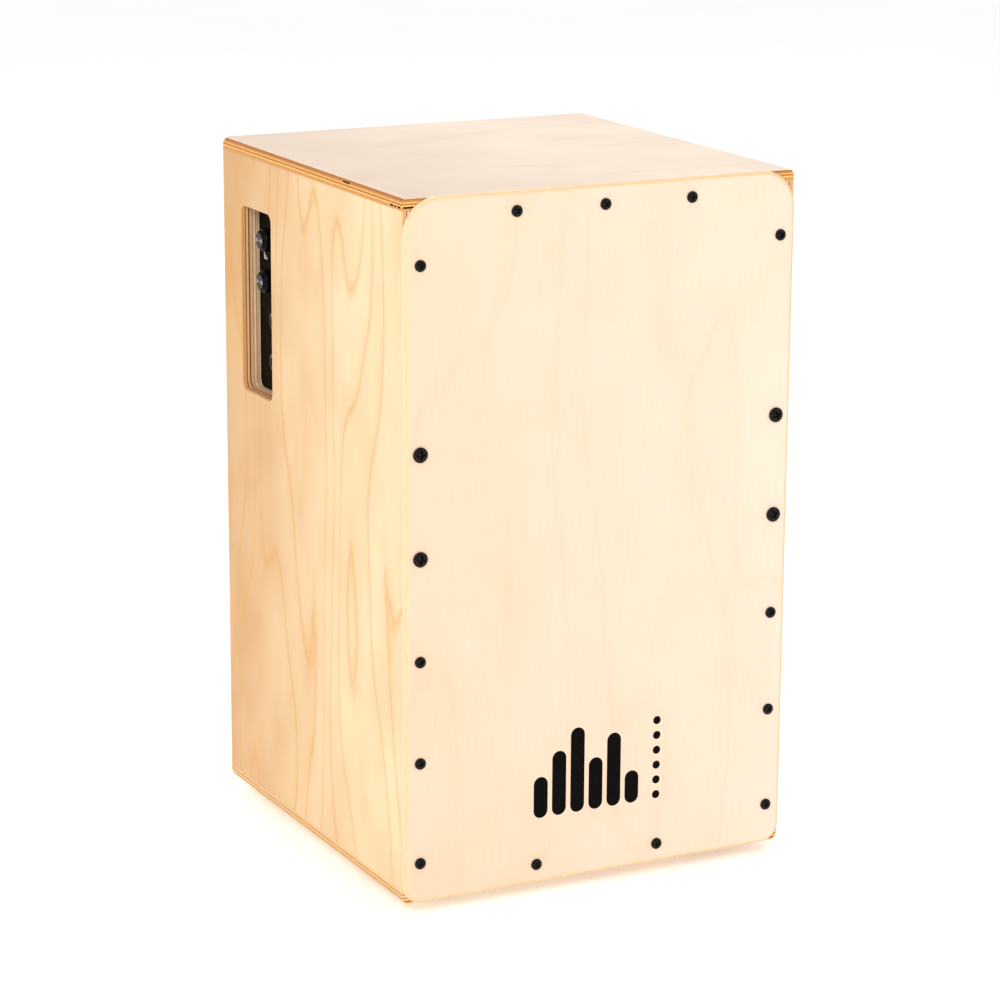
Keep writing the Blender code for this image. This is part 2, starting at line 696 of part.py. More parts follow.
def build_jacks():
    """The two sockets for a 6.3 mm plug, each held to the panel by a hexagon nut."""
    tip = PANEL_THICKNESS + 2 * GAP + NUT_THICKNESS + GAP + THREAD_PROUD
    body = turned_mesh(
        "jack_body",
        [
            (0.0, tip - JACK_BORE_DEPTH),
            (JACK_BORE_RADIUS, tip - JACK_BORE_DEPTH),
            (JACK_BORE_RADIUS, tip),
            (BUSHING_RADIUS, tip),
            (BUSHING_RADIUS, 0.0),
            (JACK_RADIUS, 0.0),
            (JACK_RADIUS, -JACK_DEPTH),
            (0.0, -JACK_DEPTH),
        ],
    )
    bm = bmesh.new()
    add_cylinder(bm, (0.0, 0.0, 0.0), (0.0, 0.0, NUT_THICKNESS), NUT_RADIUS, 6)
    nut = mesh_from(bm, "jack_nut")
    bm = bmesh.new()
    start = (0.0, 0.0, -NUT_THICKNESS)
    end = (0.0, 0.0, 2 * NUT_THICKNESS)
    add_cylinder(bm, start, end, BUSHING_RADIUS + HOLE_CLEARANCE, TURNED_STEPS)
    bore = mesh_from(bm, "nut_bore")
    for name, z in (("upper_jack", UPPER_JACK_Z), ("lower_jack", LOWER_JACK_Z)):
        place(add_part(name, body, "black plastic"), (BEHIND_PANEL_X, RECESS_Y, z), (-1, 0, 0))
        ring = place(add_part(f"{name}_nut", nut, "nickel"), (PANEL_FRONT_X - GAP, RECESS_Y, z), (-1, 0, 0))
        cutter = place(add_cutter(f"{name}_nut_bore", bore), ring.location, (-1, 0, 0))
        combine(ring, cutter, "DIFFERENCE")


def build_preamp():
    """The circuit board, the battery and the open-fronted housing that covers them."""
    half_y = HOUSING_HALF_Y - HOUSING_WALL - BOARD_SIDE_GAP
    low = (BOARD_X, RECESS_Y - half_y, TONE_Z - BOARD_END_MARGIN)
    high = (BOARD_X + BOARD_THICKNESS, RECESS_Y + half_y, VOLUME_Z + BOARD_END_MARGIN)
    board("circuit_board", low, high, "green laminate")
    half = Vector(BATTERY_SIZE) / 2
    middle = Vector((BATTERY_X + half.x, RECESS_Y, (VOLUME_Z + TONE_Z) / 2))
    battery = board("battery", middle - half, middle + half, "black plastic")
    corners = {(sx, sy, 0): BATTERY_CORNER for sx in (-1, 1) for sy in (-1, 1)}
    round_edges(battery, corners)
    build_housing()


def build_housing():
    """A box with its face towards the panel left open, thickened inwards, with a hole for the lead."""
    outer_x = HOUSING_INNER_X + HOUSING_WALL
    size = (outer_x - BEHIND_PANEL_X, 2 * HOUSING_HALF_Y, 2 * HOUSING_HALF_Z, 1.0)
    bm = bmesh.new()
    bmesh.ops.create_cube(bm, size=1.0, matrix=Matrix.Diagonal(size))
    open_side = [f for f in bm.faces if f.normal.x < -0.5]
    bmesh.ops.delete(bm, geom=open_side, context="FACES")
    obj = add_part("preamp_housing", mesh_from(bm, "preamp_housing"), "black plastic")
    obj.location = ((outer_x + BEHIND_PANEL_X) / 2, RECESS_Y, RECESS_Z)
    shell = obj.modifiers.new("Wall", "SOLIDIFY")
    shell.thickness = HOUSING_WALL
    shell.offset = -1.0
    shell.use_even_offset = True
    x, y, z = lead_hole()
    start = (x, y - HOUSING_WALL, z)
    end = (x, y + 2 * HOUSING_WALL, z)
    drill(obj, "lead_hole", [(start, end, LEAD_RADIUS + LEAD_HOLE_CLEARANCE)])


def lead_hole():
    """Where the lead meets the housing's front wall, at a height between the sockets."""
    x = (BEHIND_PANEL_X + HOUSING_INNER_X) / 2
    return Vector((x, RECESS_Y - HOUSING_HALF_Y, (UPPER_JACK_Z + LOWER_JACK_Z) / 2))


def build_pickup():
    """The contact disc on the plate's back and the lead from it to the preamp."""
    disc = turned_mesh(
        "pickup_disc",
        [
            (0.0, 0.0),
            (CERAMIC_RADIUS, 0.0),
            (CERAMIC_RADIUS, -CERAMIC_THICKNESS),
            (DISC_RADIUS, -CERAMIC_THICKNESS),
            (DISC_RADIUS, -CERAMIC_THICKNESS - DISC_THICKNESS),
            (0.0, -CERAMIC_THICKNESS - DISC_THICKNESS),
        ],
        steps=KNOB_STEPS,
    )
    back_y = PLATE_BACK_Y + GAP + DISC_THICKNESS + CERAMIC_THICKNESS
    z = TOP_Z - RAIL_DROP - DISC_BELOW_RAIL
    place(add_part("pickup_disc", disc, "brass"), (DISC_X, back_y, z), (0, 1, 0))
    lead = bpy.data.curves.new("pickup_cable", "CURVE")
    lead.dimensions = "3D"
    lead.bevel_depth = LEAD_RADIUS
    lead.bevel_resolution = 2
    lead.use_fill_caps = True
    points = smooth_route(lead_route(back_y + GAP, z))
    spline = lead.splines.new("POLY")
    spline.points.add(len(points) - 1)
    for point, position in zip(spline.points, points):
        point.co = (*position, 1.0)
    add_part("pickup_cable", lead, "black plastic")


def lead_route(start_y, start_z):
    """The lead's own points: off the disc, over to the left side, back along it and into the housing."""
    entry = lead_hole()
    wall_x = -INNER_X + LEAD_RADIUS + GAP
    mid_y = (start_y + entry.y) / 2
    return [
        Vector((DISC_X, start_y, start_z)),
        Vector((DISC_X - 0.001, start_y + 0.009, start_z)),
        Vector((DISC_X - 0.012, start_y + 0.016, start_z - 0.004)),
        Vector((DISC_X - 0.040, start_y + 0.019, start_z - 0.012)),
        Vector((wall_x + 0.012, start_y + 0.024, start_z - 0.010)),
        Vector((wall_x + 0.001, start_y + 0.040, start_z - 0.004)),
        Vector((wall_x, mid_y - 0.030, start_z + 0.004)),
        Vector((wall_x, mid_y + 0.015, start_z + 0.020)),
        Vector((wall_x + 0.002, entry.y - 0.045, (start_z + entry.z) / 2 + 0.014)),
        Vector((entry.x - 0.005, entry.y - 0.024, entry.z - 0.006)),
        Vector((entry.x, entry.y - 0.012, entry.z)),
        Vector((entry.x, entry.y - 0.004, entry.z)),
        Vector((entry.x, entry.y + 0.004, entry.z)),
    ]


def smooth_route(points):
    """Points along the Catmull-Rom curve through a route."""
    ends = [2 * points[0] - points[1], *points, 2 * points[-1] - points[-2]]
    smooth = [points[0]]
    for a, b, c, d in zip(ends, ends[1:], ends[2:], ends[3:]):
        for i in range(1, LEAD_POINTS_PER_SPAN + 1):
            t = i / LEAD_POINTS_PER_SPAN
            bend = a * (-t + 2 * t**2 - t**3) + b * (2 - 5 * t**2 + 3 * t**3)
            bend += c * (t + 4 * t**2 - 3 * t**3) + d * (t**3 - t**2)
            smooth.append(bend / 2)
    return smooth


clear_scene()
CAJON = new_collection("cajon")
CUTTERS = new_collection("cutters")

build_top_panel()
build_bottom_panel()
left_side = build_side_panel("left_side_panel", -1)
cut_recess(left_side)
build_side_panel("right_side_panel", 1)
build_rear_panel()
build_battens()
build_front_plate()
build_plate_screws()
build_feet()
build_snares()
build_control_panel()
build_controls()
build_jacks()
build_preamp()
build_pickup()
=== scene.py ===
"""Looks of a box drum with a built-in pickup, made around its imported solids. Lengths are in metres."""

import json

import bpy
import numpy as np
from mathutils import Matrix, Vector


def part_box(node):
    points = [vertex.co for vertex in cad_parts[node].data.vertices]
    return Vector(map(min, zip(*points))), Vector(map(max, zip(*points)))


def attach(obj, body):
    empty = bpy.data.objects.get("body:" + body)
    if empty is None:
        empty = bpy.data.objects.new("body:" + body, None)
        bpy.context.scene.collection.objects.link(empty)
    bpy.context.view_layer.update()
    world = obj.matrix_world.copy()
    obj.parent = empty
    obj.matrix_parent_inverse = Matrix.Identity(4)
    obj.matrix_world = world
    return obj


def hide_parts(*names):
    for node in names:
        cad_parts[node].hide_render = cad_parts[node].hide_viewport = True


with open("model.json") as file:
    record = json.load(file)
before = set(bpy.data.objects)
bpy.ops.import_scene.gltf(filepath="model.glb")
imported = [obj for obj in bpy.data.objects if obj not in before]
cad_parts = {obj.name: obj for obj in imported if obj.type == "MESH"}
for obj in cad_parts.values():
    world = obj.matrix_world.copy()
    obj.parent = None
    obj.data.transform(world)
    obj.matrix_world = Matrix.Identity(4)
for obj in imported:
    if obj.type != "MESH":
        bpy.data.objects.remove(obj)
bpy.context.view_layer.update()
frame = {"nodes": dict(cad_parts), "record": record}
openings = {opening["name"]: np.array(opening["box_m"]) for opening in frame["record"]["physics"]["openings"]}
mm = 0.001

# Camera. It stands before the front left corner, above the seat, with a long lens, so the upright edges
# stay almost parallel.
yaw, pitch, roll = np.radians((27.136, 14.459, 0.349))
eye = (-1.095347, -2.138554, 0.864965)
ahead = np.array((np.sin(yaw) * np.cos(pitch), np.cos(yaw) * np.cos(pitch), -np.sin(pitch)))
level = np.array((np.cos(yaw), -np.sin(yaw), 0.0))
upright = np.cross(level, ahead)
turn = np.eye(4)
turn[:3, 0] = np.cos(roll) * level + np.sin(roll) * upright
turn[:3, 1] = np.cos(roll) * upright - np.sin(roll) * level
turn[:3, 2] = -ahead
turn[:3, 3] = eye
lens = bpy.data.cameras.new("camera")
lens.lens = 122.9
camera = bpy.data.objects.new("camera", lens)
camera.matrix_world = Matrix(turn.tolist())
bpy.context.scene.collection.objects.link(camera)
bpy.context.scene.camera = camera


# Floor. A pale seamless studio floor, painted matt, which runs on past the view on every side. It gives
# off a little light of its own, so it stays as white as a backdrop that is lit by itself.
def linear(colour):
    """An sRGB hex colour as linear RGBA: ((c + 0.055) / 1.055) ** 2.4, or c / 12.92 near black."""
    c = np.array([int(colour[i : i + 2], 16) for i in (1, 3, 5)]) / 255
    return (*np.where(c > 0.04045, ((c + 0.055) / 1.055) ** 2.4, c / 12.92), 1.0)


def add(tree, kind, inputs=(), stops=(), **settings):
    """Adds a node. Its inputs are values, hex colours, or nodes and sockets that it is linked to."""
    node = tree.nodes.new("ShaderNode" + kind)
    for key, value in settings.items():
        setattr(node, key, value)
    for key, value in dict(inputs).items():
        if isinstance(value, bpy.types.Node):
            value = next(socket for socket in value.outputs if socket.enabled)
        if isinstance(value, bpy.types.NodeSocket):
            tree.links.new(value, node.inputs[key])
        else:
            node.inputs[key].default_value = linear(value) if isinstance(value, str) else value
    for i, (position, colour) in enumerate(stops):
        ramp = node.color_ramp.elements
        stop = ramp[i] if i < 2 else ramp.new(1.0)
        stop.position = position
        stop.color = linear(colour) if isinstance(colour, str) else (colour, colour, colour, 1.0)
    return node


def new_finish(name, **inputs):
    """A material, its tree, its shader with values on its own sockets, and the Object coordinates."""
    material = bpy.data.materials.new(name)
    material.use_nodes = True
    tree = material.node_tree
    shader = tree.nodes["Principled BSDF"]
    for key, value in inputs.items():
        shader.inputs[key.replace("_", " ")].default_value = value
    return material, tree, shader, add(tree, "TexCoord").outputs["Object"]


def mottled(name, colours, grit, roughness, bump=0.0, stretch=(1, 1, 1), **inputs):
    """A surface with a random grain: noise mixes two colours, moves the roughness and lifts the surface.

    Grit is the size of one grain in metres, and bump is its height.
    """
    material, tree, shader, place = new_finish(name, **inputs)
    scale = [1 / (grit * s) for s in stretch]
    spots = add(tree, "Mapping", {"Vector": place, "Scale": scale})
    noise = add(tree, "TexNoise", {"Vector": spots, "Scale": 1.0, "Detail": 3.0, "Roughness": 0.6})
    spread = add(tree, "MapRange", {0: noise.outputs[0], 1: 0.3, 2: 0.7})
    tint = add(tree, "Mix", {0: spread, 6: colours[0], 7: colours[1]}, data_type="RGBA")
    gloss = add(tree, "MapRange", {0: noise.outputs[0], 1: 0.3, 2: 0.7, 3: roughness[0], 4: roughness[1]})
    tree.links.new(tint.outputs[2], shader.inputs["Base Color"])
    tree.links.new(gloss.outputs[0], shader.inputs["Roughness"])
    if bump:
        lift = add(tree, "Bump", {"Height": noise.outputs[0], "Distance": bump, "Strength": 1.0})
        tree.links.new(lift.outputs[0], shader.inputs["Normal"])
    return material


# Matt studio paint: it has no highlight, and its soft blotches are too pale to be seen as marks.
reach = 14.0
blotch = 0.4
glow = 0.3
floor_mesh = bpy.data.meshes.new("floor")
corners = reach * np.array([(-1, -1, 0), (1, -1, 0), (1, 1, 0), (-1, 1, 0)], float)
floor_mesh.from_pydata(corners.tolist(), [], [(0, 1, 2, 3)])
floor_mesh.materials.append(mottled(
    "Matt studio paint", ("#f9f8f7", "#fbfaf9"), blotch, (0.85, 0.95), Emission_Color=(1.0, 1.0, 1.0, 1.0),
    Emission_Strength=glow,
))
floor = bpy.data.objects.new("floor", floor_mesh)
bpy.context.scene.collection.objects.link(floor)

# Light. An even white room and three soft lights: a strong one over the front left, a weak one from the
# front right, and one from above and behind that keeps the seat almost as pale as the plate.
bpy.context.scene.view_settings.view_transform = "Standard"
room = bpy.data.worlds.new("white room")
room.use_nodes = True
room.node_tree.nodes["Background"].inputs["Color"].default_value = (1.0, 1.0, 1.0, 1.0)
room.node_tree.nodes["Background"].inputs["Strength"].default_value = 0.7
bpy.context.scene.world = room
aim = np.array((0.0, 0.0, 0.25))
for name, spot, size, power in (
    ("key", (-1.7, -1.9, 1.9), 1.2, 33.0),
    ("fill", (2.0, -2.6, 1.5), 1.6, 9.0),
    ("rear", (0.3, 1.9, 2.6), 0.9, 24.0),
):
    softbox = bpy.data.lights.new(name, "AREA")
    softbox.shape = "DISK"
    softbox.size = size
    softbox.energy = power
    lamp = bpy.data.objects.new(name, softbox)
    towards = aim - np.array(spot)
    away = -towards / np.linalg.norm(towards)
    beside = np.cross((0.0, 0.0, 1.0), away)
    beside /= np.linalg.norm(beside)
    turn = np.eye(4)
    turn[:3, :] = np.stack((beside, np.cross(away, beside), away, spot), axis=1)
    lamp.matrix_world = Matrix(turn.tolist())
    bpy.context.scene.collection.objects.link(lamp)


# Side boards. Two 15 mm boards of birch plywood in fourteen plies, glued between the seat and the
# underside, with the rear outer edge rounded over. The left one has the routed control recess.
def outline(limits, radii, steps):
    """A rectangle with rounded corners: each is a quarter circle, centre + radius * (cos t, sin t)."""
    a0, a1, b0, b1 = limits
    radii = np.broadcast_to(radii, 4)[:, None]
    t = np.arange(4)[:, None] * np.pi / 2 + np.linspace(0, np.pi / 2, steps + 1)
    a = np.where([[True], [False], [False], [True]], a1 - radii, a0 + radii) + radii * np.cos(t)
    b = np.where([[True], [True], [False], [False]], b1 - radii, b0 + radii) + radii * np.sin(t)
    return np.stack((a, b), axis=-1).reshape(-1, 2)


def eased(limits, radii, face, inward, width, depth, start=0.0, steps=8, outward=1):
    """Rings over the eased edge of a face, from its flat towards the middle of the board.

    On each side the edge is a squashed arc. At depth d, its angle t has cos t = cos(start) * (1 - d / depth),
    and it stands width * (1 - sin t) / (1 - sin(start)) inside the outline. A guard ring just inside the
    flat keeps its shading level.
    """
    guard_width = 0.6 * mm
    sharpest = 0.1 * mm
    width = np.broadcast_to(width, 4)
    depth = np.broadcast_to(depth, 4)
    t = np.linspace(start, np.pi / 2, 7)
    falls = np.concatenate([h * (1 - np.cos(t) / np.cos(start)) for h in np.unique(depth)])
    rings = [(0.0, guard_width)] + [(d, 0.0) for d in np.unique(np.round(falls, 7))]
    result = []
    for d, guard in rings:
        c = np.cos(start) * (1 - np.minimum(d / depth, 1.0))
        inset = width * (1 - np.sqrt(1 - c * c)) / (1 - np.sin(start)) + guard
        moved = limits + outward * inset * np.array((1, -1, 1, -1))
        side = inset[[1, 0, 0, 1]] / 2 + inset[[3, 3, 2, 2]] / 2
        ring = outline(moved, np.maximum(radii - outward * side, sharpest), steps)
        result.append(np.column_stack((ring, np.full(len(ring), face + inward * d))))
    return result


crisp = 0.12 * mm


def board(low, high, through, radii=crisp, low_edge=crisp, high_edge=crisp, steps=8, hole=None, **arc):
    """Rings over a board: its low face, the edge round its outline, its high face, and the hole back.

    An edge is one easing or four, at the low and high end of the first and the second axis of the face.
    """
    a, b = (i for i in range(3) if i != through)
    limits = np.array((low[a], high[a], low[b], high[b]))
    depth, start = arc.get("depth", low_edge), arc.get("start", 0.0)
    rings = eased(limits, radii, low[through], 1, low_edge, depth, start, steps)
    rings += eased(limits, radii, high[through], -1, high_edge, high_edge, steps=steps)[::-1]
    if hole:
        size, corner, low_round, high_round = hole
        rings += eased(size, corner, high[through], -1, high_round, high_round, steps=steps, outward=-1)
        rings += eased(size, corner, low[through], 1, low_round, low_round, steps=steps, outward=-1)[::-1]
    places = np.empty((len(rings), len(rings[0]), 3))
    places[:, :, (a, b, through)] = rings
    return places


def piece(name, sheets, material, replaces=(), body="box", closed=False, smooth=30):
    """A closed surface over rings of points. Each quad joins points j and j + 1 of rings i and i + 1.

    The first and the last ring are filled in, unless the rings close on themselves. The faces point
    outwards: the volume, a sixth of the sum of a . (b x c) over the triangles, comes out positive.
    """
    points = []
    faces = []
    for rings in sheets:
        rows, columns = rings.shape[:2]
        i = np.arange(rows if closed else rows - 1)[:, None]
        j = np.arange(columns)
        after = (i + 1) % rows
        following = (j + 1) % columns
        quads = (i * columns + j, i * columns + following, after * columns + following, after * columns + j)
        quads = np.stack(np.broadcast_arrays(*quads), axis=-1).reshape(-1, 4)
        flat = rings.reshape(-1, 3)
        caps = [] if closed else [j[::-1], (rows - 1) * columns + j]
        near = flat - flat[0]
        volume = 0.0
        for corners in (quads, *(cap[None] for cap in caps)):
            for k in range(1, corners.shape[1] - 1):
                p, q, r = (near[corners[:, n]] for n in (0, k, k + 1))
                volume += np.sum(p * np.cross(q, r))
        order = slice(None) if volume > 0 else slice(None, None, -1)
        start = sum(len(p) for p in points)
        faces += (quads[:, order] + start).tolist() + [(cap[order] + start).tolist() for cap in caps]
        points.append(flat)
    mesh = bpy.data.meshes.new(name)
    mesh.from_pydata(np.concatenate(points).tolist(), [], faces)
    mesh.shade_smooth()
    mesh.set_sharp_from_angle(angle=np.radians(smooth))
    mesh.materials.append(material)
    result = bpy.data.objects.new(name, mesh)
    bpy.context.scene.collection.objects.link(result)
    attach(result, body)
    if replaces:
        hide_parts(*replaces)
    return result


def plywood(name, box, through, along, plies, veneer, figure, painted_shade, voids=(), **inputs):
    """Birch plywood: sliced veneer on the faces and a stack of plies at the edges, under satin lacquer.

    The lacquer gives the eye a soft, wide highlight on the faces, and the cut edges stay dull and speckled.
    The plies are (end of the ply in mm from the low face, colour). The veneer is (pale, line, cloud)
    colours. The figure is (lines across the board, ramp across it, size of a swirl in mm, strength): a
    slow noise, stretched along the grain, is cut into rings by its fractional part, as a knife cuts
    growth rings, and each ring ends in a thin dark line of late wood. The painted shade is (axis, start,
    end): the veneer is painted from pale towards cloud along it, so the face grows darker towards one end
    as if less light reached it. A void is (low, high, axis, start, end): a dark slot between two heights
    in mm, where a knot fell out of an inner ply before the board was glued.
    """
    low, high = box
    material, tree, shader, place = new_finish(name, **inputs)
    thickness = high[through] - low[through]
    axes = add(tree, "SeparateXYZ", {0: place}).outputs
    across = 3 - through - along
    rise = add(tree, "MapRange", {0: axes[through], 1: low[through], 2: high[through]})

    # Plies: end grain is rough and speckled, and fibres run along the edge of the others.
    starts = [0.0] + [end * mm / thickness for end, _ in plies[:-1]]
    stack = add(tree, "ValToRGB", {0: rise}, stops=[(s, c) for s, (_, c) in zip(starts, plies)])
    stack.color_ramp.interpolation = "CONSTANT"
    fine = [1 / (7 * mm)] * 3
    fine[through] = 1 / (0.35 * mm)
    fibres = add(tree, "Mapping", {"Vector": place, "Scale": fine})
    speckle = add(tree, "TexNoise", {"Vector": fibres, "Scale": 1.0, "Detail": 4.0, "Roughness": 0.7})
    shade = add(tree, "MapRange", {0: speckle.outputs[0], 1: 0.3, 2: 0.7, 3: 0.8, 4: 1.12})
    edge = add(tree, "Mix", {0: 1.0, 6: stack, 7: shade}, data_type="RGBA", blend_type="MULTIPLY")
    edge = edge.outputs[2]
    for ply_low, ply_high, axis, start, end in voids:
        inside = add(tree, "Math", {0: rise, 1: ply_low * mm / thickness}, operation="GREATER_THAN")
        under = add(tree, "Math", {0: rise, 1: ply_high * mm / thickness}, operation="LESS_THAN")
        middle = add(tree, "Math", {0: axes[axis], 1: (start + end) / 2}, operation="SUBTRACT")
        ragged_end = {0: speckle.outputs[0], 1: 1.2 * mm, 2: middle}
        wobble = add(tree, "Math", ragged_end, operation="MULTIPLY_ADD")
        gone = add(tree, "Math", {0: wobble}, operation="ABSOLUTE")
        beyond = add(tree, "Math", {0: gone, 1: (end - start) / 2}, operation="LESS_THAN")
        dark = add(tree, "Math", {0: inside, 1: under}, operation="MULTIPLY")
        dark = add(tree, "Math", {0: dark, 1: beyond}, operation="MULTIPLY")
        edge = add(tree, "Mix", {0: dark, 6: edge, 7: "#3d1504"}, data_type="RGBA").outputs[2]

    # Veneer: growth rings in the plane of the board, the same through its thickness.
    lines, ramp, swirl, strength = figure
    sheet = add(tree, "CombineXYZ", {0: axes[across], 1: axes[along]})
    flow = (1 / (swirl * mm), 1 / (swirl * 5.0 * mm), 1)
    stretched = add(tree, "Mapping", {"Vector": sheet, "Scale": flow})
    slow = add(tree, "TexNoise", {"Vector": stretched, "Scale": 1.0, "Detail": 1.2, "Roughness": 0.3})
    ragged = add(tree, "Mapping", {"Vector": sheet, "Scale": (1 / (5 * mm), 1 / (9 * mm), 1)})
    tremble = add(tree, "TexNoise", {"Vector": ragged, "Scale": 1.0, "Detail": 3.0, "Roughness": 0.6})
    rings = add(tree, "Math", {0: slow.outputs[0], 1: lines}, operation="MULTIPLY")
    rings = add(tree, "Math", {0: axes[across], 1: ramp / mm / 100, 2: rings}, operation="MULTIPLY_ADD")
    rings = add(tree, "Math", {0: tremble.outputs[0], 1: 0.12, 2: rings}, operation="MULTIPLY_ADD")
    part = add(tree, "Math", {0: rings}, operation="FRACT")
    ring_darkness = [(0.0, 0.8), (0.05, 0.3), (0.13, 0.0), (0.66, 0.0), (0.93, 0.2), (1.0, 1.0)]
    late = add(tree, "ValToRGB", {0: part}, stops=ring_darkness)
    depth = add(tree, "Math", {0: late, 1: strength}, operation="MULTIPLY")
    soft = add(tree, "Mapping", {"Vector": sheet, "Scale": (1 / (55 * mm), 1 / (90 * mm), 1)})
    cloud = add(tree, "TexNoise", {"Vector": soft, "Scale": 1.0, "Detail": 2.0, "Roughness": 0.5})
    cloud_and_painted_shade = add(tree, "MapRange", {0: cloud.outputs[0], 1: 0.35, 2: 0.68})
    # Painted shade: along the given axis the veneer is painted darker, from pale towards cloud, as if less
    # light reached that end.
    painted_shade_ramp = add(tree, "MapRange", {0: axes[painted_shade[0]], 1: painted_shade[1], 2: painted_shade[2], 3: 0.0, 4: 0.85})
    cloud_and_painted_shade = add(tree, "Math", {0: cloud_and_painted_shade, 1: 0.3, 2: painted_shade_ramp}, operation="MULTIPLY_ADD", use_clamp=True)
    ground = add(tree, "Mix", {0: cloud_and_painted_shade, 6: veneer[0], 7: veneer[2]}, data_type="RGBA").outputs[2]
    drawn = add(tree, "Mix", {0: depth, 6: ground, 7: veneer[1]}, data_type="RGBA").outputs[2]
    thin = add(tree, "Mapping", {"Vector": sheet, "Scale": (1 / (0.5 * mm), 1 / (26 * mm), 1)})
    fibre = add(tree, "TexNoise", {"Vector": thin, "Scale": 1.0, "Detail": 3.0, "Roughness": 0.6})
    streak = add(tree, "MapRange", {0: fibre.outputs[0], 1: 0.3, 2: 0.7, 3: 0.94, 4: 1.035})
    face = add(tree, "Mix", {0: 1.0, 6: drawn, 7: streak}, data_type="RGBA", blend_type="MULTIPLY")

    # Faces and edges: the outermost plies are the veneer.
    first = plies[0][0] * mm / thickness
    last = plies[-2][0] * mm / thickness
    core = add(tree, "ValToRGB", {0: rise}, stops=[(0.0, 0.0), (first, 1.0), (last, 0.0)])
    core.color_ramp.interpolation = "CONSTANT"
    colour = add(tree, "Mix", {0: core, 6: face.outputs[2], 7: edge}, data_type="RGBA").outputs[2]
    gloss = add(tree, "MapRange", {0: fibre.outputs[0], 1: 0.3, 2: 0.7, 3: 0.36, 4: 0.5})
    open_grain = add(tree, "Mix", {0: core, 2: gloss, 3: 0.62})
    height = add(tree, "Mix", {0: core, 2: fibre.outputs[0], 3: speckle.outputs[0]})
    lift = add(tree, "Bump", {"Height": height, "Distance": 0.06 * mm, "Strength": 0.6})
    tree.links.new(colour, shader.inputs["Base Color"])
    tree.links.new(open_grain.outputs[0], shader.inputs["Roughness"])
    tree.links.new(lift.outputs[0], shader.inputs["Normal"])
    return material


def turned_over(plies):
    """The same stack seen from its other face: each ply ends at the full thickness less its start."""
    starts = [end for end, _ in plies[-2::-1]] + [0.0]
    return [(plies[-1][0] - start, colour) for start, (_, colour) in zip(starts, plies[::-1])]


side_plies = [
    (0.8, "#f6dcb2"), (2.6, "#e2a468"), (3.3, "#efb678"), (4.3, "#a86e3a"), (5.9, "#f4c598"),
    (7.0, "#84501f"), (9.0, "#eaba8a"), (9.8, "#c99868"), (11.4, "#fddcb4"), (12.3, "#c2946a"),
    (13.2, "#efcca4"), (13.9, "#c6a07a"), (14.6, "#fbe0c2"), (15.0, "#f6e0bd"),
]
side_veneer = ("#f7d9ac", "#dd9c34", "#d6a468")
side_lacquer = {"IOR": 1.5, "Specular_IOR_Level": 0.3, "Coat_Weight": 0.06, "Coat_Roughness": 0.3}
# Painted shade on the side boards: the veneer is painted darker from the front towards the rear.
front_to_rear = (1, -0.08, 0.15)
glue = np.array((0.0, 0.0, 0.13 * mm))
left_box = np.array(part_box("left_side_panel")) + (-glue, glue)
left_wood = plywood(
    "Birch plywood, lacquered, left side", left_box, 0, 2, side_plies, side_veneer,
    figure=(7.4, -2.6, 74, 0.6), painted_shade=front_to_rear, **side_lacquer,
)
panel_low, panel_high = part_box("control_panel")
flange = 10 * mm
recess = np.array((
    panel_low[1] + flange, panel_high[1] - flange, panel_low[2] + flange, panel_high[2] - flange
))
recess_corner, recess_front, recess_back = 6 * mm, 1.5 * mm, 0.3 * mm
rear_round = 6.5
round_rear = np.array((0.12, rear_round, 0.12, 0.12)) * mm
left_hole = (recess, recess_corner, recess_front, recess_back)
left_rings = board(*left_box, 0, low_edge=round_rear, hole=left_hole)
piece("left_side_board", [left_rings], left_wood, ["left_side_panel"], closed=True)

right_box = np.array(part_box("right_side_panel")) + (-glue, glue)
right_wood = plywood(
    "Birch plywood, lacquered, right side", right_box, 0, 2, turned_over(side_plies), side_veneer,
    figure=(5.4, 2.4, 72, 0.6), painted_shade=front_to_rear, **side_lacquer,
)
right_rings = board(*right_box, 0, high_edge=round_rear)
piece("right_side_board", [right_rings], right_wood, ["right_side_panel"])

# Rear board. A 9 mm plywood board set between the side boards, with the round sound hole sawn out and
# its edge rounded over.
rear_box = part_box("rear_panel")
rear_plies = [
    (0.6, "#efd3a2"), (2.0, "#b98a58"), (3.3, "#d9b283"), (4.6, "#a87a4c"), (5.9, "#d6ae80"),
    (7.2, "#b48556"), (8.4, "#dab586"), (9.0, "#f0d3a0"),
]
# Painted shade on the rear and underside boards: the veneer is painted darker towards the right.
left_to_right = (0, -0.2, 0.4)
rear_wood = plywood(
    "Birch plywood, lacquered, rear", rear_box, 1, 2, rear_plies, side_veneer,
    figure=(5.6, 2.0, 76, 0.6), painted_shade=left_to_right, IOR=1.5, Coat_Weight=0.12, Coat_Roughness=0.3,
)
hole_middle = openings["sound_hole"].mean(axis=0)
hole_radius, hole_inner, hole_outer = 55 * mm, 0.5 * mm, 2.4 * mm
hole_limits = np.repeat((hole_middle[0], hole_middle[2]), 2) + hole_radius * np.array((-1, 1, -1, 1))
sound_hole = (hole_limits, hole_radius, hole_inner, hole_outer)
rear_rings = board(*rear_box, 1, steps=24, hole=sound_hole)
piece("rear_board", [rear_rings], rear_wood, ["rear_panel"], closed=True)

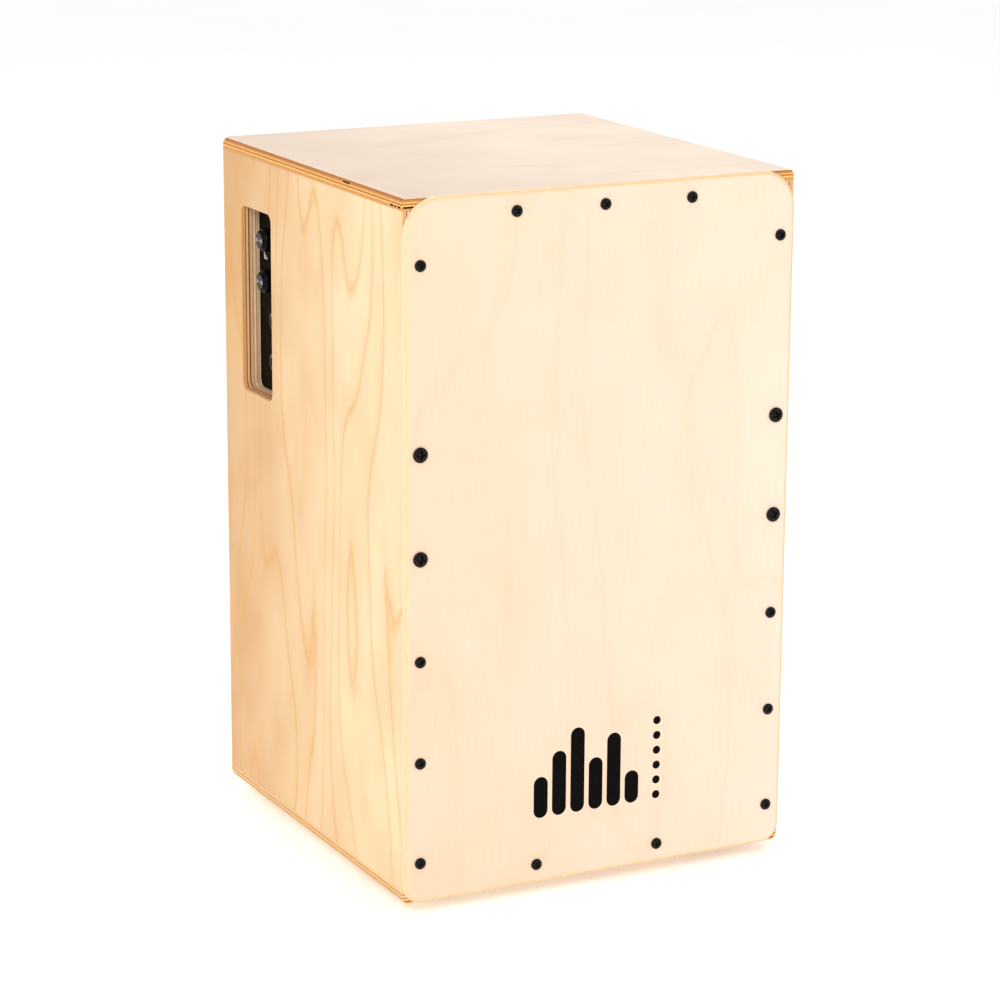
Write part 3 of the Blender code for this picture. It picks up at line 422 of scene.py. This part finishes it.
# Seat board. Birch plywood 8.5 mm thick with its grain across the box. It lies on the side boards, its
# plies show all round, and its long edges and rear corners are rounded over.
top_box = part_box("top_panel")
plies_from_above = [
    (0.9, "#e9c9a0"), (2.2, "#b8763e"), (3.1, "#cf8f50"), (3.9, "#f6bd74"), (5.2, "#c98036"),
    (6.0, "#fbcf90"), (8.25, "#dd9a4c"), (8.5, "#f3c98e"),
]
seat_veneer = ("#fae7d3", "#d9bd9c", "#e6cfba")
left_x, front_y = top_box[0][0], top_box[0][1]
# The seat's veneer is painted darker towards the left, a painted shade.
top_wood = plywood(
    "Birch plywood, lacquered, seat", top_box, 2, 0, turned_over(plies_from_above), seat_veneer,
    figure=(5.0, 0.6, 90, 0.2), painted_shade=(0, 0.03, -0.15), IOR=1.5, Specular_IOR_Level=0.14,
    voids=(
        (1.2, 2.7, 1, front_y + 2 * mm, front_y + 6 * mm),
        (1.3, 2.6, 1, front_y + 8 * mm, front_y + 11.5 * mm),
        (1.2, 2.7, 1, front_y + 13 * mm, front_y + 17.5 * mm),
        (5.4, 6.4, 1, front_y + 83 * mm, front_y + 94 * mm),
        (1.2, 2.6, 0, left_x + 2 * mm, left_x + 12 * mm),
    ),
)
long_round, front_round = 5.5, 0.8
top_edge = np.array((long_round, long_round, front_round, rear_round)) * mm
rear_corners = np.array((rear_round, rear_round, 0.3, 0.3)) * mm
top_rings = board(*top_box, 2, rear_corners, high_edge=top_edge)
piece("seat_board", [top_rings], top_wood, ["top_panel"])

# Underside board. Birch plywood 9 mm thick, cut and rounded like the seat but with its eased face down.
# The feet are screwed into it.
bottom_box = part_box("bottom_panel")
bottom_plies = [
    (0.6, "#f0cf98"), (1.9, "#d08c45"), (2.6, "#9c6026"), (4.1, "#f0bf7a"), (4.9, "#b87532"),
    (6.4, "#f3c888"), (7.2, "#bd7a36"), (8.4, "#ecb976"), (9.0, "#f5d8a8"),
]
bottom_wood = plywood(
    "Birch plywood, lacquered, underside", bottom_box, 2, 0, bottom_plies, side_veneer,
    figure=(6.0, 0.8, 80, 0.6), painted_shade=left_to_right, IOR=1.5, Coat_Weight=0.1, Coat_Roughness=0.35,
)
bottom_rings = board(*bottom_box, 2, rear_corners, low_edge=top_edge)
piece("underside_board", [bottom_rings], bottom_wood, ["bottom_panel"])

# Battens and snare rail. Planed softwood strips with lightly broken edges, glued between the side
# boards: two take the screws of the plate's ends and the third carries the snares.
# Planed spruce shows straight amber growth rings, and a dry sheen that follows the fibres.
rail_low, rail_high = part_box("snare_rail")
strip_wood, tree, shader, place = new_finish("Planed spruce", IOR=1.5)
strip_rings = add(tree, "Mapping", {"Vector": place, "Scale": (1.5, 330, 330)})
growth = add(
    tree, "TexWave", {"Vector": strip_rings, "Scale": 0.33, "Distortion": 2.2, "Detail": 2.0},
    wave_type="RINGS", rings_direction="X",
)
strip_fibre = add(tree, "Mapping", {"Vector": place, "Scale": (40, 1400, 1400)})
strip_grain = add(tree, "TexNoise", {"Vector": strip_fibre, "Scale": 1.0, "Detail": 3.0})
ring_colours = [(0.0, "#c99b62"), (0.5, "#e3c08c"), (1.0, "#e9cb9c")]
strip_tint = add(tree, "ValToRGB", {0: growth.outputs[1]}, stops=ring_colours)
strip_dark = add(tree, "MapRange", {0: strip_grain.outputs[0], 1: 0.3, 2: 0.7, 3: 0.9, 4: 1.05})
strip_colour = add(
    tree, "Mix", {0: 1.0, 6: strip_tint, 7: strip_dark}, data_type="RGBA", blend_type="MULTIPLY"
)
strip_lift = add(tree, "Bump", {"Height": strip_grain.outputs[0], "Distance": 0.1 * mm, "Strength": 0.7})
strip_gloss = add(tree, "MapRange", {0: strip_grain.outputs[0], 3: 0.6, 4: 0.8})
tree.links.new(strip_colour.outputs[2], shader.inputs["Base Color"])
tree.links.new(strip_gloss.outputs[0], shader.inputs["Roughness"])
tree.links.new(strip_lift.outputs[0], shader.inputs["Normal"])
long_edge, end_edge = 0.8 * mm, 0.3 * mm
for node, name in (
    ("top_batten", "upper_strip"), ("bottom_batten", "lower_strip"), ("snare_rail", "snare_strip")
):
    strip = board(*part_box(node), 0, long_edge, end_edge, end_edge)
    piece(name, [strip], strip_wood, [node])

# Front plate. The struck face: 3 mm of birch plywood, with large top corners. Its front edge is routed
# to a wide flat curve, which bares the amber ply behind the veneer as a band round the plate.
plate_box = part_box("front_plate")
plate_plies = [(0.22, "#fbe8cd"), (1.4, "#f3d09f"), (1.7, "#fbe3bd"), (3.0, "#fff3e0")]
# The plate's veneer is painted darker towards the left, a painted shade.
plate_wood = plywood(
    "Birch plywood, lacquered, front plate", plate_box, 1, 2, plate_plies, ("#f9dec8", "#deb88e", "#f3d0b1"),
    figure=(4.6, 0.5, 84, 0.16), painted_shade=(0, 0.16, -0.16), IOR=1.5, Specular_IOR_Level=0.35,
    Coat_Weight=0.1, Coat_Roughness=0.32,
)
plate_corners = np.array((26.0, 26.0, 14.0, 14.0)) * mm
band_width, band_depth, band_slope = 3.6 * mm, 2.8 * mm, np.radians(10)
plate_rings = board(
    *plate_box, 1, plate_corners, band_width, crisp, steps=20, depth=band_depth, start=band_slope
)
piece("struck_plate", [plate_rings], plate_wood, ["front_plate"])

# Printed motif. Round-ended bars of different heights, like a level meter, with a row of dots beside
# them, screen printed in black on the lacquer. The ink dries to a flat black film with a faint unevenness.
ink = mottled(
    "Black screen ink", ("#040303", "#080706"), 1.5 * mm, (0.4, 0.5), 0.01 * mm, IOR=1.5,
    Specular_IOR_Level=0.05,
)
ink_proud, ink_sunk, ink_edge = 0.02 * mm, 0.05 * mm, 0.02 * mm
print_face = plate_box[0][1] - ink_proud
print_back = plate_box[0][1] + ink_sunk
bar_half, bar_base, bar_heights = 5.5, 57.7, (30.0, 47.0, 62.0, 38.0, 54.0, 24.0)
bars = []
for middle, height in zip(np.linspace(-45.0, 27.2, 6), bar_heights):
    low = np.array((middle - bar_half, 0.0, bar_base)) * mm
    high = np.array((middle + bar_half, 0.0, bar_base + height)) * mm
    low[1], high[1] = print_face, print_back
    bars.append(board(low, high, 1, bar_half * mm, ink_edge, ink_edge))
dot_middle, dot_half, dot_round = 47.0, 3.0, 2.95
for rise in np.linspace(61.0, 116.0, 6):
    low = np.array((dot_middle - dot_half, 0.0, rise - dot_half)) * mm
    high = np.array((dot_middle + dot_half, 0.0, rise + dot_half)) * mm
    low[1], high[1] = print_face, print_back
    bars.append(board(low, high, 1, dot_round * mm, ink_edge, ink_edge))
piece("printed_motif", bars, ink)


# Plate screws. Cross-recessed pan heads of black oxide steel hold the plate, in two sizes of head. The
# oxide is almost black, with a broken, oily glint.
def turned(profile, axis, sign, centre, steps=64, recess=None, outline_at=None):
    """A turned shape: each (radius, height) of the profile goes round as (r cos t, r sin t) at its height.

    The height runs along an axis from the centre. A recess lowers a point by a depth that depends on
    where it is on the disc, and outline_at scales its radius by its angle and its place in the profile.
    """
    profile = np.array(profile)
    t = np.arange(steps) * 2 * np.pi / steps
    radius = profile[:, 0][:, None] * np.ones(steps)
    if outline_at is not None:
        radius = outline_at(radius, t, profile)
    height = profile[:, 1][:, None] * np.ones(steps)
    u = radius * np.cos(t)
    v = radius * np.sin(t)
    if recess is not None:
        height = height - recess(u, v) * (height > 0)
    rings = np.empty((*radius.shape, 3))
    a, b = (i for i in range(3) if i != axis)
    rings[:, :, a] = centre[a] + u
    rings[:, :, b] = centre[b] + v
    rings[:, :, axis] = centre[axis] + sign * height
    return rings


def screw(node, axis, sign, rise, material, shank=1.75 * mm):
    """A pan-head screw in the place of a CAD one, with its head towards sign along an axis.

    The dome is (R sin a, rise * (0.45 + 0.55 cos a)). The recess is a cross: each arm is as deep as the
    product of a step across its width and a step along its length.
    """
    low, high = (np.array(corner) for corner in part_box(node))
    side = (axis + 1) % 3
    head = (high[side] - low[side]) / 2
    centre = (low + high) / 2
    centre[axis] = (high if sign > 0 else low)[axis] - sign * rise
    length = high[axis] - low[axis] - rise
    a = np.linspace(0.04, np.pi / 2, 19)
    dome = np.column_stack((head * np.sin(a), rise * (0.45 + 0.55 * np.cos(a))))
    body = [
        (head, 0.08 * mm), (head - 0.08 * mm, 0.0), (shank, 0.0), (shank, 2 * shank - length),
        (0.1 * mm, -length),
    ]
    angle = draws.uniform(0, np.pi / 2)

    def cross(u, v):
        along = u * np.cos(angle) + v * np.sin(angle)
        beside = v * np.cos(angle) - u * np.sin(angle)
        depth = 0.0
        for p, q in ((along, beside), (beside, along)):
            width = head * (0.2 - 0.1 * np.abs(p) / (0.62 * head))
            arm = np.clip((width - np.abs(q)) / (0.06 * head), 0, 1)
            arm = arm * np.clip((0.62 * head - np.abs(p)) / (0.1 * head), 0, 1)
            depth = np.maximum(depth, arm)
        return depth * 0.62 * rise

    rings = turned(np.vstack((dome, body)), axis, sign, centre, recess=cross)
    piece(node + "_steel", [rings], material, [node], smooth=38)


draws = np.random.default_rng(7)
oxide = mottled(
    "Black oxide steel", ("#030303", "#1d1b1a"), 0.55 * mm, (0.16, 0.4), 0.03 * mm, Metallic=0.5,
    Specular_IOR_Level=0.3,
)
large_head, large_rise, small_rise = 9 * mm, 2.6, 2.0
for node in frame["nodes"]:
    if node.startswith("plate_screw"):
        low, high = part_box(node)
        large = high[0] - low[0] > large_head
        screw(node, 1, -1, (large_rise if large else small_rise) * mm, oxide)

# Feet. Turned-looking moulded rubber buttons, with a pocket for the screw that holds each to the
# underside. The rubber is matt and slightly dusty.
rubber = mottled("Moulded rubber", ("#17171a", "#222225"), 0.8 * mm, (0.7, 0.9), 0.03 * mm, IOR=1.5)
# Zinc plate gives the hidden screws a soft, slightly cloudy grey glint.
zinc = mottled("Zinc plated steel", ("#aeb0ae", "#8f918f"), 2.2 * mm, (0.28, 0.45), 0.01 * mm, Metallic=1.0)
for place_name in ("front_left", "front_right", "rear_left", "rear_right"):
    low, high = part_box(f"foot_{place_name}")
    top = (high[2] - low[2]) / mm
    profile = np.array((
        (2.05, top), (12.2, top), (12.8, top - 0.3), (13.0, top - 0.9), (12.75, 6.4), (12.5, 6.1),
        (12.5, 5.7), (12.45, 5.5), (12.0, 2.0), (11.7, 0.9), (11.4, 0.35), (10.8, 0.0), (6.0, 0.0),
        (5.6, 0.3), (5.5, 0.8), (5.5, top - 4.0), (2.05, top - 4.0),
    )) * mm
    middle = ((low[0] + high[0]) / 2, (low[1] + high[1]) / 2, low[2])
    button = turned(profile, 2, 1, middle)
    piece(f"button_{place_name}", [button], rubber, [f"foot_{place_name}"], closed=True)
    screw(f"foot_screw_{place_name}", 2, -1, 2.2 * mm, zinc)

# Snares. Two sets of ten coiled wires, soldered to a flat clip that a screw holds to the rail. They lean
# on the back of the plate. Spring steel is bright and smooth, so each turn catches a thin line of light.
wire = mottled("Spring steel wire", ("#a9aaa8", "#838482"), 0.6 * mm, (0.22, 0.36), Metallic=1.0)
wires = 10
coil = 1.1 * mm
strand = 0.26 * mm
coil_pitch = 1.15 * mm
steps_per_turn = 11
clip_gap, clip_thickness, clip_half, clip_corner = 0.3 * mm, 1.2 * mm, 8 * mm, 2 * mm
for side in ("left", "right"):
    low, high = (np.array(corner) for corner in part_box(f"snare_wires_{side}"))
    rail_z = (rail_low[2] + rail_high[2]) / 2
    clip_low = np.array((low[0], rail_low[1] - clip_gap - clip_thickness, rail_z - clip_half))
    clip_high = np.array((high[0], rail_low[1] - clip_gap, rail_z + clip_half))
    clip = board(clip_low, clip_high, 1, clip_corner, 0.3 * mm, 0.3 * mm)
    solder = board(
        (clip_low[0] + 1.2 * mm, clip_low[1] - 0.6 * mm, rail_z + 2.2 * mm),
        (clip_high[0] - 1.2 * mm, clip_low[1] + 0.3 * mm, rail_z + 5.2 * mm),
        1, 1.4 * mm, 0.5 * mm, 0.1 * mm,
    )
    piece(f"snare_clip_{side}", [clip, solder], zinc, [f"snare_wires_{side}"])
    screw(f"snare_screw_{side}", 1, -1, 1.4 * mm, zinc, 1.2 * mm)
    foot = np.array((clip_low[1] - coil / 2, rail_z + coil))
    tip = np.array((low[1] + coil, high[2]))
    span = np.linalg.norm(tip - foot)
    lean = (tip - foot) / span
    s = np.arange(0, span - strand, coil_pitch / steps_per_turn)
    t = 2 * np.pi * s / coil_pitch
    bend = coil - strand
    outwards = np.stack((np.cos(t), -np.sin(t) * lean[1], np.sin(t) * lean[0]), axis=-1)
    backbone = np.stack((0 * s, foot[0] + s * lean[0], foot[1] + s * lean[1]), axis=-1) + bend * outwards
    direction = np.gradient(backbone, axis=0)
    direction /= np.linalg.norm(direction, axis=1)[:, None]
    sideways = np.cross(direction, outwards)
    q = np.arange(5)[:, None] * 2 * np.pi / 5
    tube = backbone[:, None] + strand * (np.cos(q) * outwards[:, None] + np.sin(q) * sideways[:, None])
    margin = 2.8 * mm
    starts = np.linspace(low[0] + margin, high[0] - margin, wires)
    piece(f"snare_coils_{side}", [tube + (x, 0, 0) for x in starts], wire, smooth=80)

# Control panel. A flat black sheet behind the recess, powder coated with a fine orange peel, with white
# printed scales: eleven dots round each control and a small stack of bars beside them.
coating = mottled(
    "Powder coated steel", ("#020202", "#050505"), 0.7 * mm, (0.3, 0.42), 0.03 * mm, IOR=1.5,
    Specular_IOR_Level=0.03,
)
for holder in frame["nodes"]["control_panel"].material_slots:
    holder.material = coating
# White screen ink looks chalky beside the coating.
white_ink = mottled("White screen ink", ("#e9e9e6", "#d8d8d4"), 0.5 * mm, (0.4, 0.55), IOR=1.5)
controls = {name: np.array(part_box(f"{name}_knob")).mean(axis=0) for name in ("volume", "tone")}
marks = []
mark_face, mark_back = panel_low[0] - ink_proud, panel_low[0] + ink_sunk
scale_radius, half, scale_dot = 10.2 * mm, 0.45 * mm, 0.44 * mm
for middle in controls.values():
    for angle in np.radians(np.linspace(-150, 150, 11)):
        y = middle[1] + scale_radius * np.sin(angle)
        z = middle[2] + scale_radius * np.cos(angle)
        corner, opposite = (mark_face, y - half, z - half), (mark_back, y + half, z + half)
        marks.append(board(corner, opposite, 0, scale_dot, ink_edge, ink_edge, 3))
between = (controls["volume"] + controls["tone"]) / 2
stripe_width, stripe_round = 1.3 * mm, 0.2 * mm
for i, tall in enumerate((2.0, 3.4, 4.8)):
    y = between[1] + (14.5 + 2.1 * i) * mm
    z = between[2] - 2.4 * mm
    corner, opposite = (mark_face, y, z), (mark_back, y + stripe_width, z + tall * mm)
    marks.append(board(corner, opposite, 0, stripe_round, ink_edge, ink_edge, 3))
piece("panel_scales", marks, white_ink)
for node in frame["nodes"]:
    if node.startswith("panel_screw"):
        screw(node, 0, 1, 1.4 * mm, zinc)


# Rotary controls. Each has a fluted knob of black moulded plastic with a dark anodised cap let into its
# face, on a nickel plated shaft that turns in a zinc plated can behind the panel.
def fluted(radius, t, profile):
    """Shallow flutes round the side of a knob: the radius loses 3% in each of 30 rounded grooves."""
    side_radius, skirt = 8.45 * mm, 0.6 * mm
    side = (profile[:, 0] > side_radius) & (profile[:, 1] > skirt)
    groove = (0.5 - 0.5 * np.cos(30 * t)) ** 3
    return radius * (1 - 0.03 * side[:, None] * groove)


# Moulded ABS is near black here. Its fine grain, drawn coarser than the real one so that it shows, breaks
# up the highlight.
knob_plastic, tree, shader, place = new_finish("Moulded ABS, black", IOR=1.54, Specular_IOR_Level=0.08)
knob_grain = add(tree, "Mapping", {"Vector": place, "Scale": (2500, 2500, 2500)})
knob_noise = add(tree, "TexNoise", {"Vector": knob_grain, "Scale": 1.0, "Detail": 2.0})
knob_tint = add(tree, "Mix", {0: knob_noise.outputs[0], 6: "#020202", 7: "#050404"}, data_type="RGBA")
knob_gloss = add(tree, "MapRange", {0: knob_noise.outputs[0], 3: 0.24, 4: 0.42})
knob_lift = add(tree, "Bump", {"Height": knob_noise.outputs[0], "Distance": 0.02 * mm, "Strength": 0.5})
tree.links.new(knob_tint.outputs[2], shader.inputs["Base Color"])
tree.links.new(knob_gloss.outputs[0], shader.inputs["Roughness"])
tree.links.new(knob_lift.outputs[0], shader.inputs["Normal"])
# Spun aluminium: the fine rings of a turned face gather the light into a bow tie. Here the bow tie is a
# painted highlight in the colour, which grows paler where |cos t| nears 1, with t the angle round the
# nearer control's axis.
spun, tree, shader, place = new_finish("Spun aluminium, dark anodised", Metallic=1.0)
control_axes = add(tree, "SeparateXYZ", {0: place}).outputs
from_both = add(tree, "Math", {0: control_axes[2], 1: between[2]}, operation="SUBTRACT")
above = add(tree, "Math", {0: from_both}, operation="ABSOLUTE")
above = add(tree, "Math", {0: above, 1: controls["volume"][2] - between[2]}, operation="SUBTRACT")
beside_it = add(tree, "Math", {0: control_axes[1], 1: between[1]}, operation="SUBTRACT")
round_it = add(tree, "Math", {0: above, 1: beside_it}, operation="ARCTAN2")
painted_sheen = add(tree, "Math", {0: round_it}, operation="COSINE")
painted_sheen = add(tree, "Math", {0: painted_sheen}, operation="ABSOLUTE")
spun_grain = add(tree, "TexNoise", {"Vector": place, "Scale": 2600.0, "Detail": 2.0})
painted_sheen = add(tree, "Math", {0: spun_grain.outputs[0], 1: 0.06, 2: painted_sheen}, operation="MULTIPLY_ADD")
# Painted highlight: the ramp keeps the cap dark and paints it pale where the bow tie falls.
painted_bow_tie = [(0.0, "#090808"), (0.84, "#141312"), (0.97, "#353331"), (1.0, "#8f8b87")]
spun_tone_and_painted_highlight = add(tree, "ValToRGB", {0: painted_sheen}, stops=painted_bow_tie)
spun_gloss = add(tree, "MapRange", {0: spun_grain.outputs[0], 3: 0.14, 4: 0.3})
tree.links.new(spun_tone_and_painted_highlight.outputs[0], shader.inputs["Base Color"])
tree.links.new(spun_gloss.outputs[0], shader.inputs["Roughness"])
# Nickel plate is warmer and brighter than zinc.
nickel = mottled("Nickel plate", ("#b9b4aa", "#9d9890"), 1.8 * mm, (0.16, 0.3), Metallic=1.0)
knob_profile = np.array((
    (0.2, 0.0), (7.9, 0.0), (8.3, 0.12), (8.5, 0.5), (8.5, 0.9), (8.5, 3.0), (8.5, 6.0), (8.5, 7.9),
    (8.5, 8.4), (8.35, 8.75), (7.4, 9.95), (6.5, 11.1), (6.25, 11.38), (6.0, 11.5), (5.95, 11.5),
    (5.85, 11.42), (5.85, 10.6), (0.2, 10.6),
)) * mm
groove_pitch, groove_depth, cap_height = 0.62, 0.035, 0.8
groove_r = np.linspace(0.1, 5.4, 71)
groove_h = cap_height - groove_depth * (0.5 - 0.5 * np.cos(2 * np.pi * groove_r / groove_pitch))
cap_profile = np.vstack((
    np.column_stack((groove_r, groove_h)), ((5.56, 0.76), (5.6, 0.66), (5.6, 0.0), (0.1, 0.0))
)) * mm
for name, middle in controls.items():
    knob_low, knob_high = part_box(f"{name}_knob")
    base = (knob_high[0], middle[1], middle[2])
    knob = turned(knob_profile, 0, -1, base, 240, outline_at=fluted)
    piece(f"{name}_knob_body", [knob], knob_plastic, [f"{name}_knob"], f"{name}_control")
    cap_seat = (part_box(f"{name}_knob_cap")[1][0], middle[1], middle[2])
    cap = turned(cap_profile, 0, -1, cap_seat, 72)
    piece(f"{name}_cap_disc", [cap], spun, [f"{name}_knob_cap"], f"{name}_control")
    pointer = board(
        (knob_low[0] - 0.02 * mm, middle[1] - 0.35 * mm, middle[2] + 5.9 * mm),
        (knob_low[0] + 0.1 * mm, middle[1] + 0.35 * mm, middle[2] + 6.15 * mm),
        0, 0.1 * mm, 0.03 * mm, 0.03 * mm, 3,
    )
    piece(f"{name}_pointer", [pointer], white_ink, body=f"{name}_control")
    for node, material in ((f"{name}_shaft", nickel), (f"{name}_pot", zinc)):
        for holder in frame["nodes"][node].material_slots:
            holder.material = material


# Sockets. Two 6.3 mm jacks of black moulded plastic with a threaded collar, each held to the panel by
# a chamfered hexagon nut of nickel plated brass.
def hexagon(radius, t, profile):
    """A hexagon inside a cylinder: the radius is the smaller of its own and apothem / cos(angle)."""
    apothem, inner = 6.2 * mm, 5.2 * mm
    flat = apothem / np.cos((t + np.pi / 6) % (np.pi / 3) - np.pi / 6)
    return np.where(radius > inner, np.minimum(radius, flat), radius)


# The socket's plastic is a little paler and duller than the knobs'.
socket_plastic = mottled(
    "Moulded ABS, socket", ("#0e0e0f", "#18181a"), 0.6 * mm, (0.35, 0.5), 0.02 * mm, IOR=1.54
)
behind_panel = panel_high[0] + 0.3 * mm
for node in ("upper_jack", "lower_jack"):
    low, high = (np.array(corner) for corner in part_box(node))
    collar_length = behind_panel - low[0]
    tip, length = collar_length / mm, (high[0] - low[0] - collar_length) / mm
    thread = [(4.7 - 0.22 * (k % 2), tip - 0.3 - 0.3 * k) for k in range(1, 14)]
    profile = np.array((
        (0.2, tip - 19.8), (3.25, tip - 19.8), (3.25, tip - 0.35), (3.6, tip), (4.4, tip),
        (4.65, tip - 0.2), *thread, (4.6, 0.0), (7.2, 0.0), (7.5, -0.3), (7.5, 0.4 - length),
        (7.1, -length), (0.2, -length),
    )) * mm
    middle = (behind_panel, (low[1] + high[1]) / 2, (low[2] + high[2]) / 2)
    piece(node + "_socket", [turned(profile, 0, -1, middle)], socket_plastic, [node])
    nut_low, nut_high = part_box(node + "_nut")
    nut_profile = np.array((
        (5.0, 0.25), (5.25, 0.0), (6.4, 0.0), (7.15, 0.3), (7.2, 0.4), (7.2, 1.6), (7.15, 1.7),
        (6.4, 2.0), (5.25, 2.0), (5.0, 1.75),
    )) * mm
    nut = turned(nut_profile, 0, -1, (nut_high[0], middle[1], middle[2]), 96, outline_at=hexagon)
    piece(node + "_hexagon", [nut], nickel, [node + "_nut"], closed=True, smooth=25)

# Preamp. An open-fronted housing, moulded in dull black ABS with rounded corners, covers the circuit
# board and its battery behind the panel. The pickup's lead comes in through its wall.
housing_low, housing_high = (np.array(corner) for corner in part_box("preamp_housing"))
wall = 2 * mm
housing_limits = np.array((housing_low[1], housing_high[1], housing_low[2], housing_high[2]))
inwards = np.array((1, -1, 1, -1))
outer_corner, inner_corner, outer_ease, inner_ease, lip = 4 * mm, 2 * mm, 2 * mm, 1.2 * mm, 0.2 * mm
inner_limits = housing_limits + wall * inwards
shell = eased(inner_limits, inner_corner, housing_high[0] - wall, -1, inner_ease, inner_ease)
mouth = housing_low[0]
for inset, back in ((wall, lip), (wall - lip, 0.0), (lip, 0.0), (0.0, lip)):
    ring = outline(housing_limits + inset * inwards, outer_corner - inset, 8)
    shell.append(np.column_stack((ring, np.full(len(ring), mouth + back))))
shell += eased(housing_limits, outer_corner, housing_high[0], -1, outer_ease, outer_ease)[::-1]
housing = np.empty((len(shell), len(shell[0]), 3))
housing[:, :, (1, 2, 0)] = shell
housing_plastic = mottled(
    "Moulded ABS, housing", ("#131314", "#1d1d1f"), 0.9 * mm, (0.45, 0.6), 0.04 * mm, IOR=1.54
)
piece("housing_cover", [housing], housing_plastic, ["preamp_housing"])

# Glass epoxy laminate: a glossy green mask, paler where copper tracks run under it.
laminate, tree, shader, place = new_finish("Glass epoxy laminate", IOR=1.5)
tracks = add(tree, "Mapping", {"Vector": place, "Scale": (400, 400, 400)})
mask_colours = {"Color1": "#0c3d22", "Color2": "#0f4a29", "Mortar": "#1c6b3f"}
cells = add(tree, "TexBrick", {"Vector": tracks, **mask_colours, "Scale": 1.0})
mask_noise = add(tree, "TexNoise", {"Vector": tracks, "Scale": 2.0})
mask_gloss = add(tree, "MapRange", {0: mask_noise.outputs[0], 3: 0.3, 4: 0.5})
tree.links.new(cells.outputs[0], shader.inputs["Base Color"])
tree.links.new(mask_gloss.outputs[0], shader.inputs["Roughness"])
# Shrunk vinyl: a smooth dark sleeve with a gold band near one end and a bare metal top.
sleeve, tree, shader, place = new_finish("Shrunk vinyl sleeve", IOR=1.5)
battery_low, battery_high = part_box("battery")
along_cell = add(tree, "SeparateXYZ", {0: place}).outputs[2]
cell_rise = add(tree, "MapRange", {0: along_cell, 1: battery_low[2], 2: battery_high[2]})
sleeve_bands = [(0.0, "#18181b"), (0.06, "#b98b3f"), (0.3, "#18181b"), (0.94, "#9a9a9a")]
bands = add(tree, "ValToRGB", {0: cell_rise}, stops=sleeve_bands)
bands.color_ramp.interpolation = "CONSTANT"
cell_noise = add(tree, "TexNoise", {"Vector": place, "Scale": 900.0})
cell_gloss = add(tree, "MapRange", {0: cell_noise.outputs[0], 3: 0.25, 4: 0.4})
tree.links.new(bands.outputs[0], shader.inputs["Base Color"])
tree.links.new(cell_gloss.outputs[0], shader.inputs["Roughness"])

# Pickup. A brass disc with a pale ceramic wafer on it, stuck to the back of the plate, and the
# screened lead that runs from it along the left side board to the preamp.
disc_low, disc_high = (np.array(corner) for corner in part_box("pickup_disc"))
# Rolled brass is a warm, finely mottled metal, and the wafer on it is pale, glazed and not metallic.
transducer, tree, shader, place = new_finish("Rolled brass and ceramic", IOR=1.5)
disc_middle = (disc_low + disc_high) / 2
to_middle = (-disc_middle[0], 0.0, -disc_middle[2])
wafer_radius = 10 * mm
centred = add(tree, "Mapping", {"Vector": place, "Location": to_middle, "Scale": (1, 0, 1)})
from_middle = add(tree, "VectorMath", {0: centred}, operation="LENGTH").outputs[1]
brassy = add(tree, "Math", {0: from_middle, 1: wafer_radius}, operation="GREATER_THAN")
grain = add(tree, "TexNoise", {"Vector": place, "Scale": 700.0, "Detail": 2.0})
brass_tint = add(tree, "Mix", {0: grain.outputs[0], 6: "#c9a052", 7: "#a87f38"}, data_type="RGBA").outputs[2]
wafer_tint = add(tree, "Mix", {0: grain.outputs[0], 6: "#d9d4c6", 7: "#c6c0b0"}, data_type="RGBA").outputs[2]
disc_tint = add(tree, "Mix", {0: brassy, 6: wafer_tint, 7: brass_tint}, data_type="RGBA").outputs[2]
disc_gloss = add(tree, "MapRange", {0: grain.outputs[0], 3: 0.3, 4: 0.5})
tree.links.new(disc_tint, shader.inputs["Base Color"])
tree.links.new(brassy.outputs[0], shader.inputs["Metallic"])
tree.links.new(disc_gloss.outputs[0], shader.inputs["Roughness"])
# Soft vinyl: dark, dull and slightly uneven.
sheath = mottled("Soft vinyl sheath", ("#161618", "#242427"), 1.4 * mm, (0.45, 0.6), 0.02 * mm, IOR=1.5)
for node, material in (
    ("circuit_board", laminate), ("battery", sleeve), ("pickup_disc", transducer), ("pickup_cable", sheath)
):
    for holder in frame["nodes"][node].material_slots:
        holder.material = material
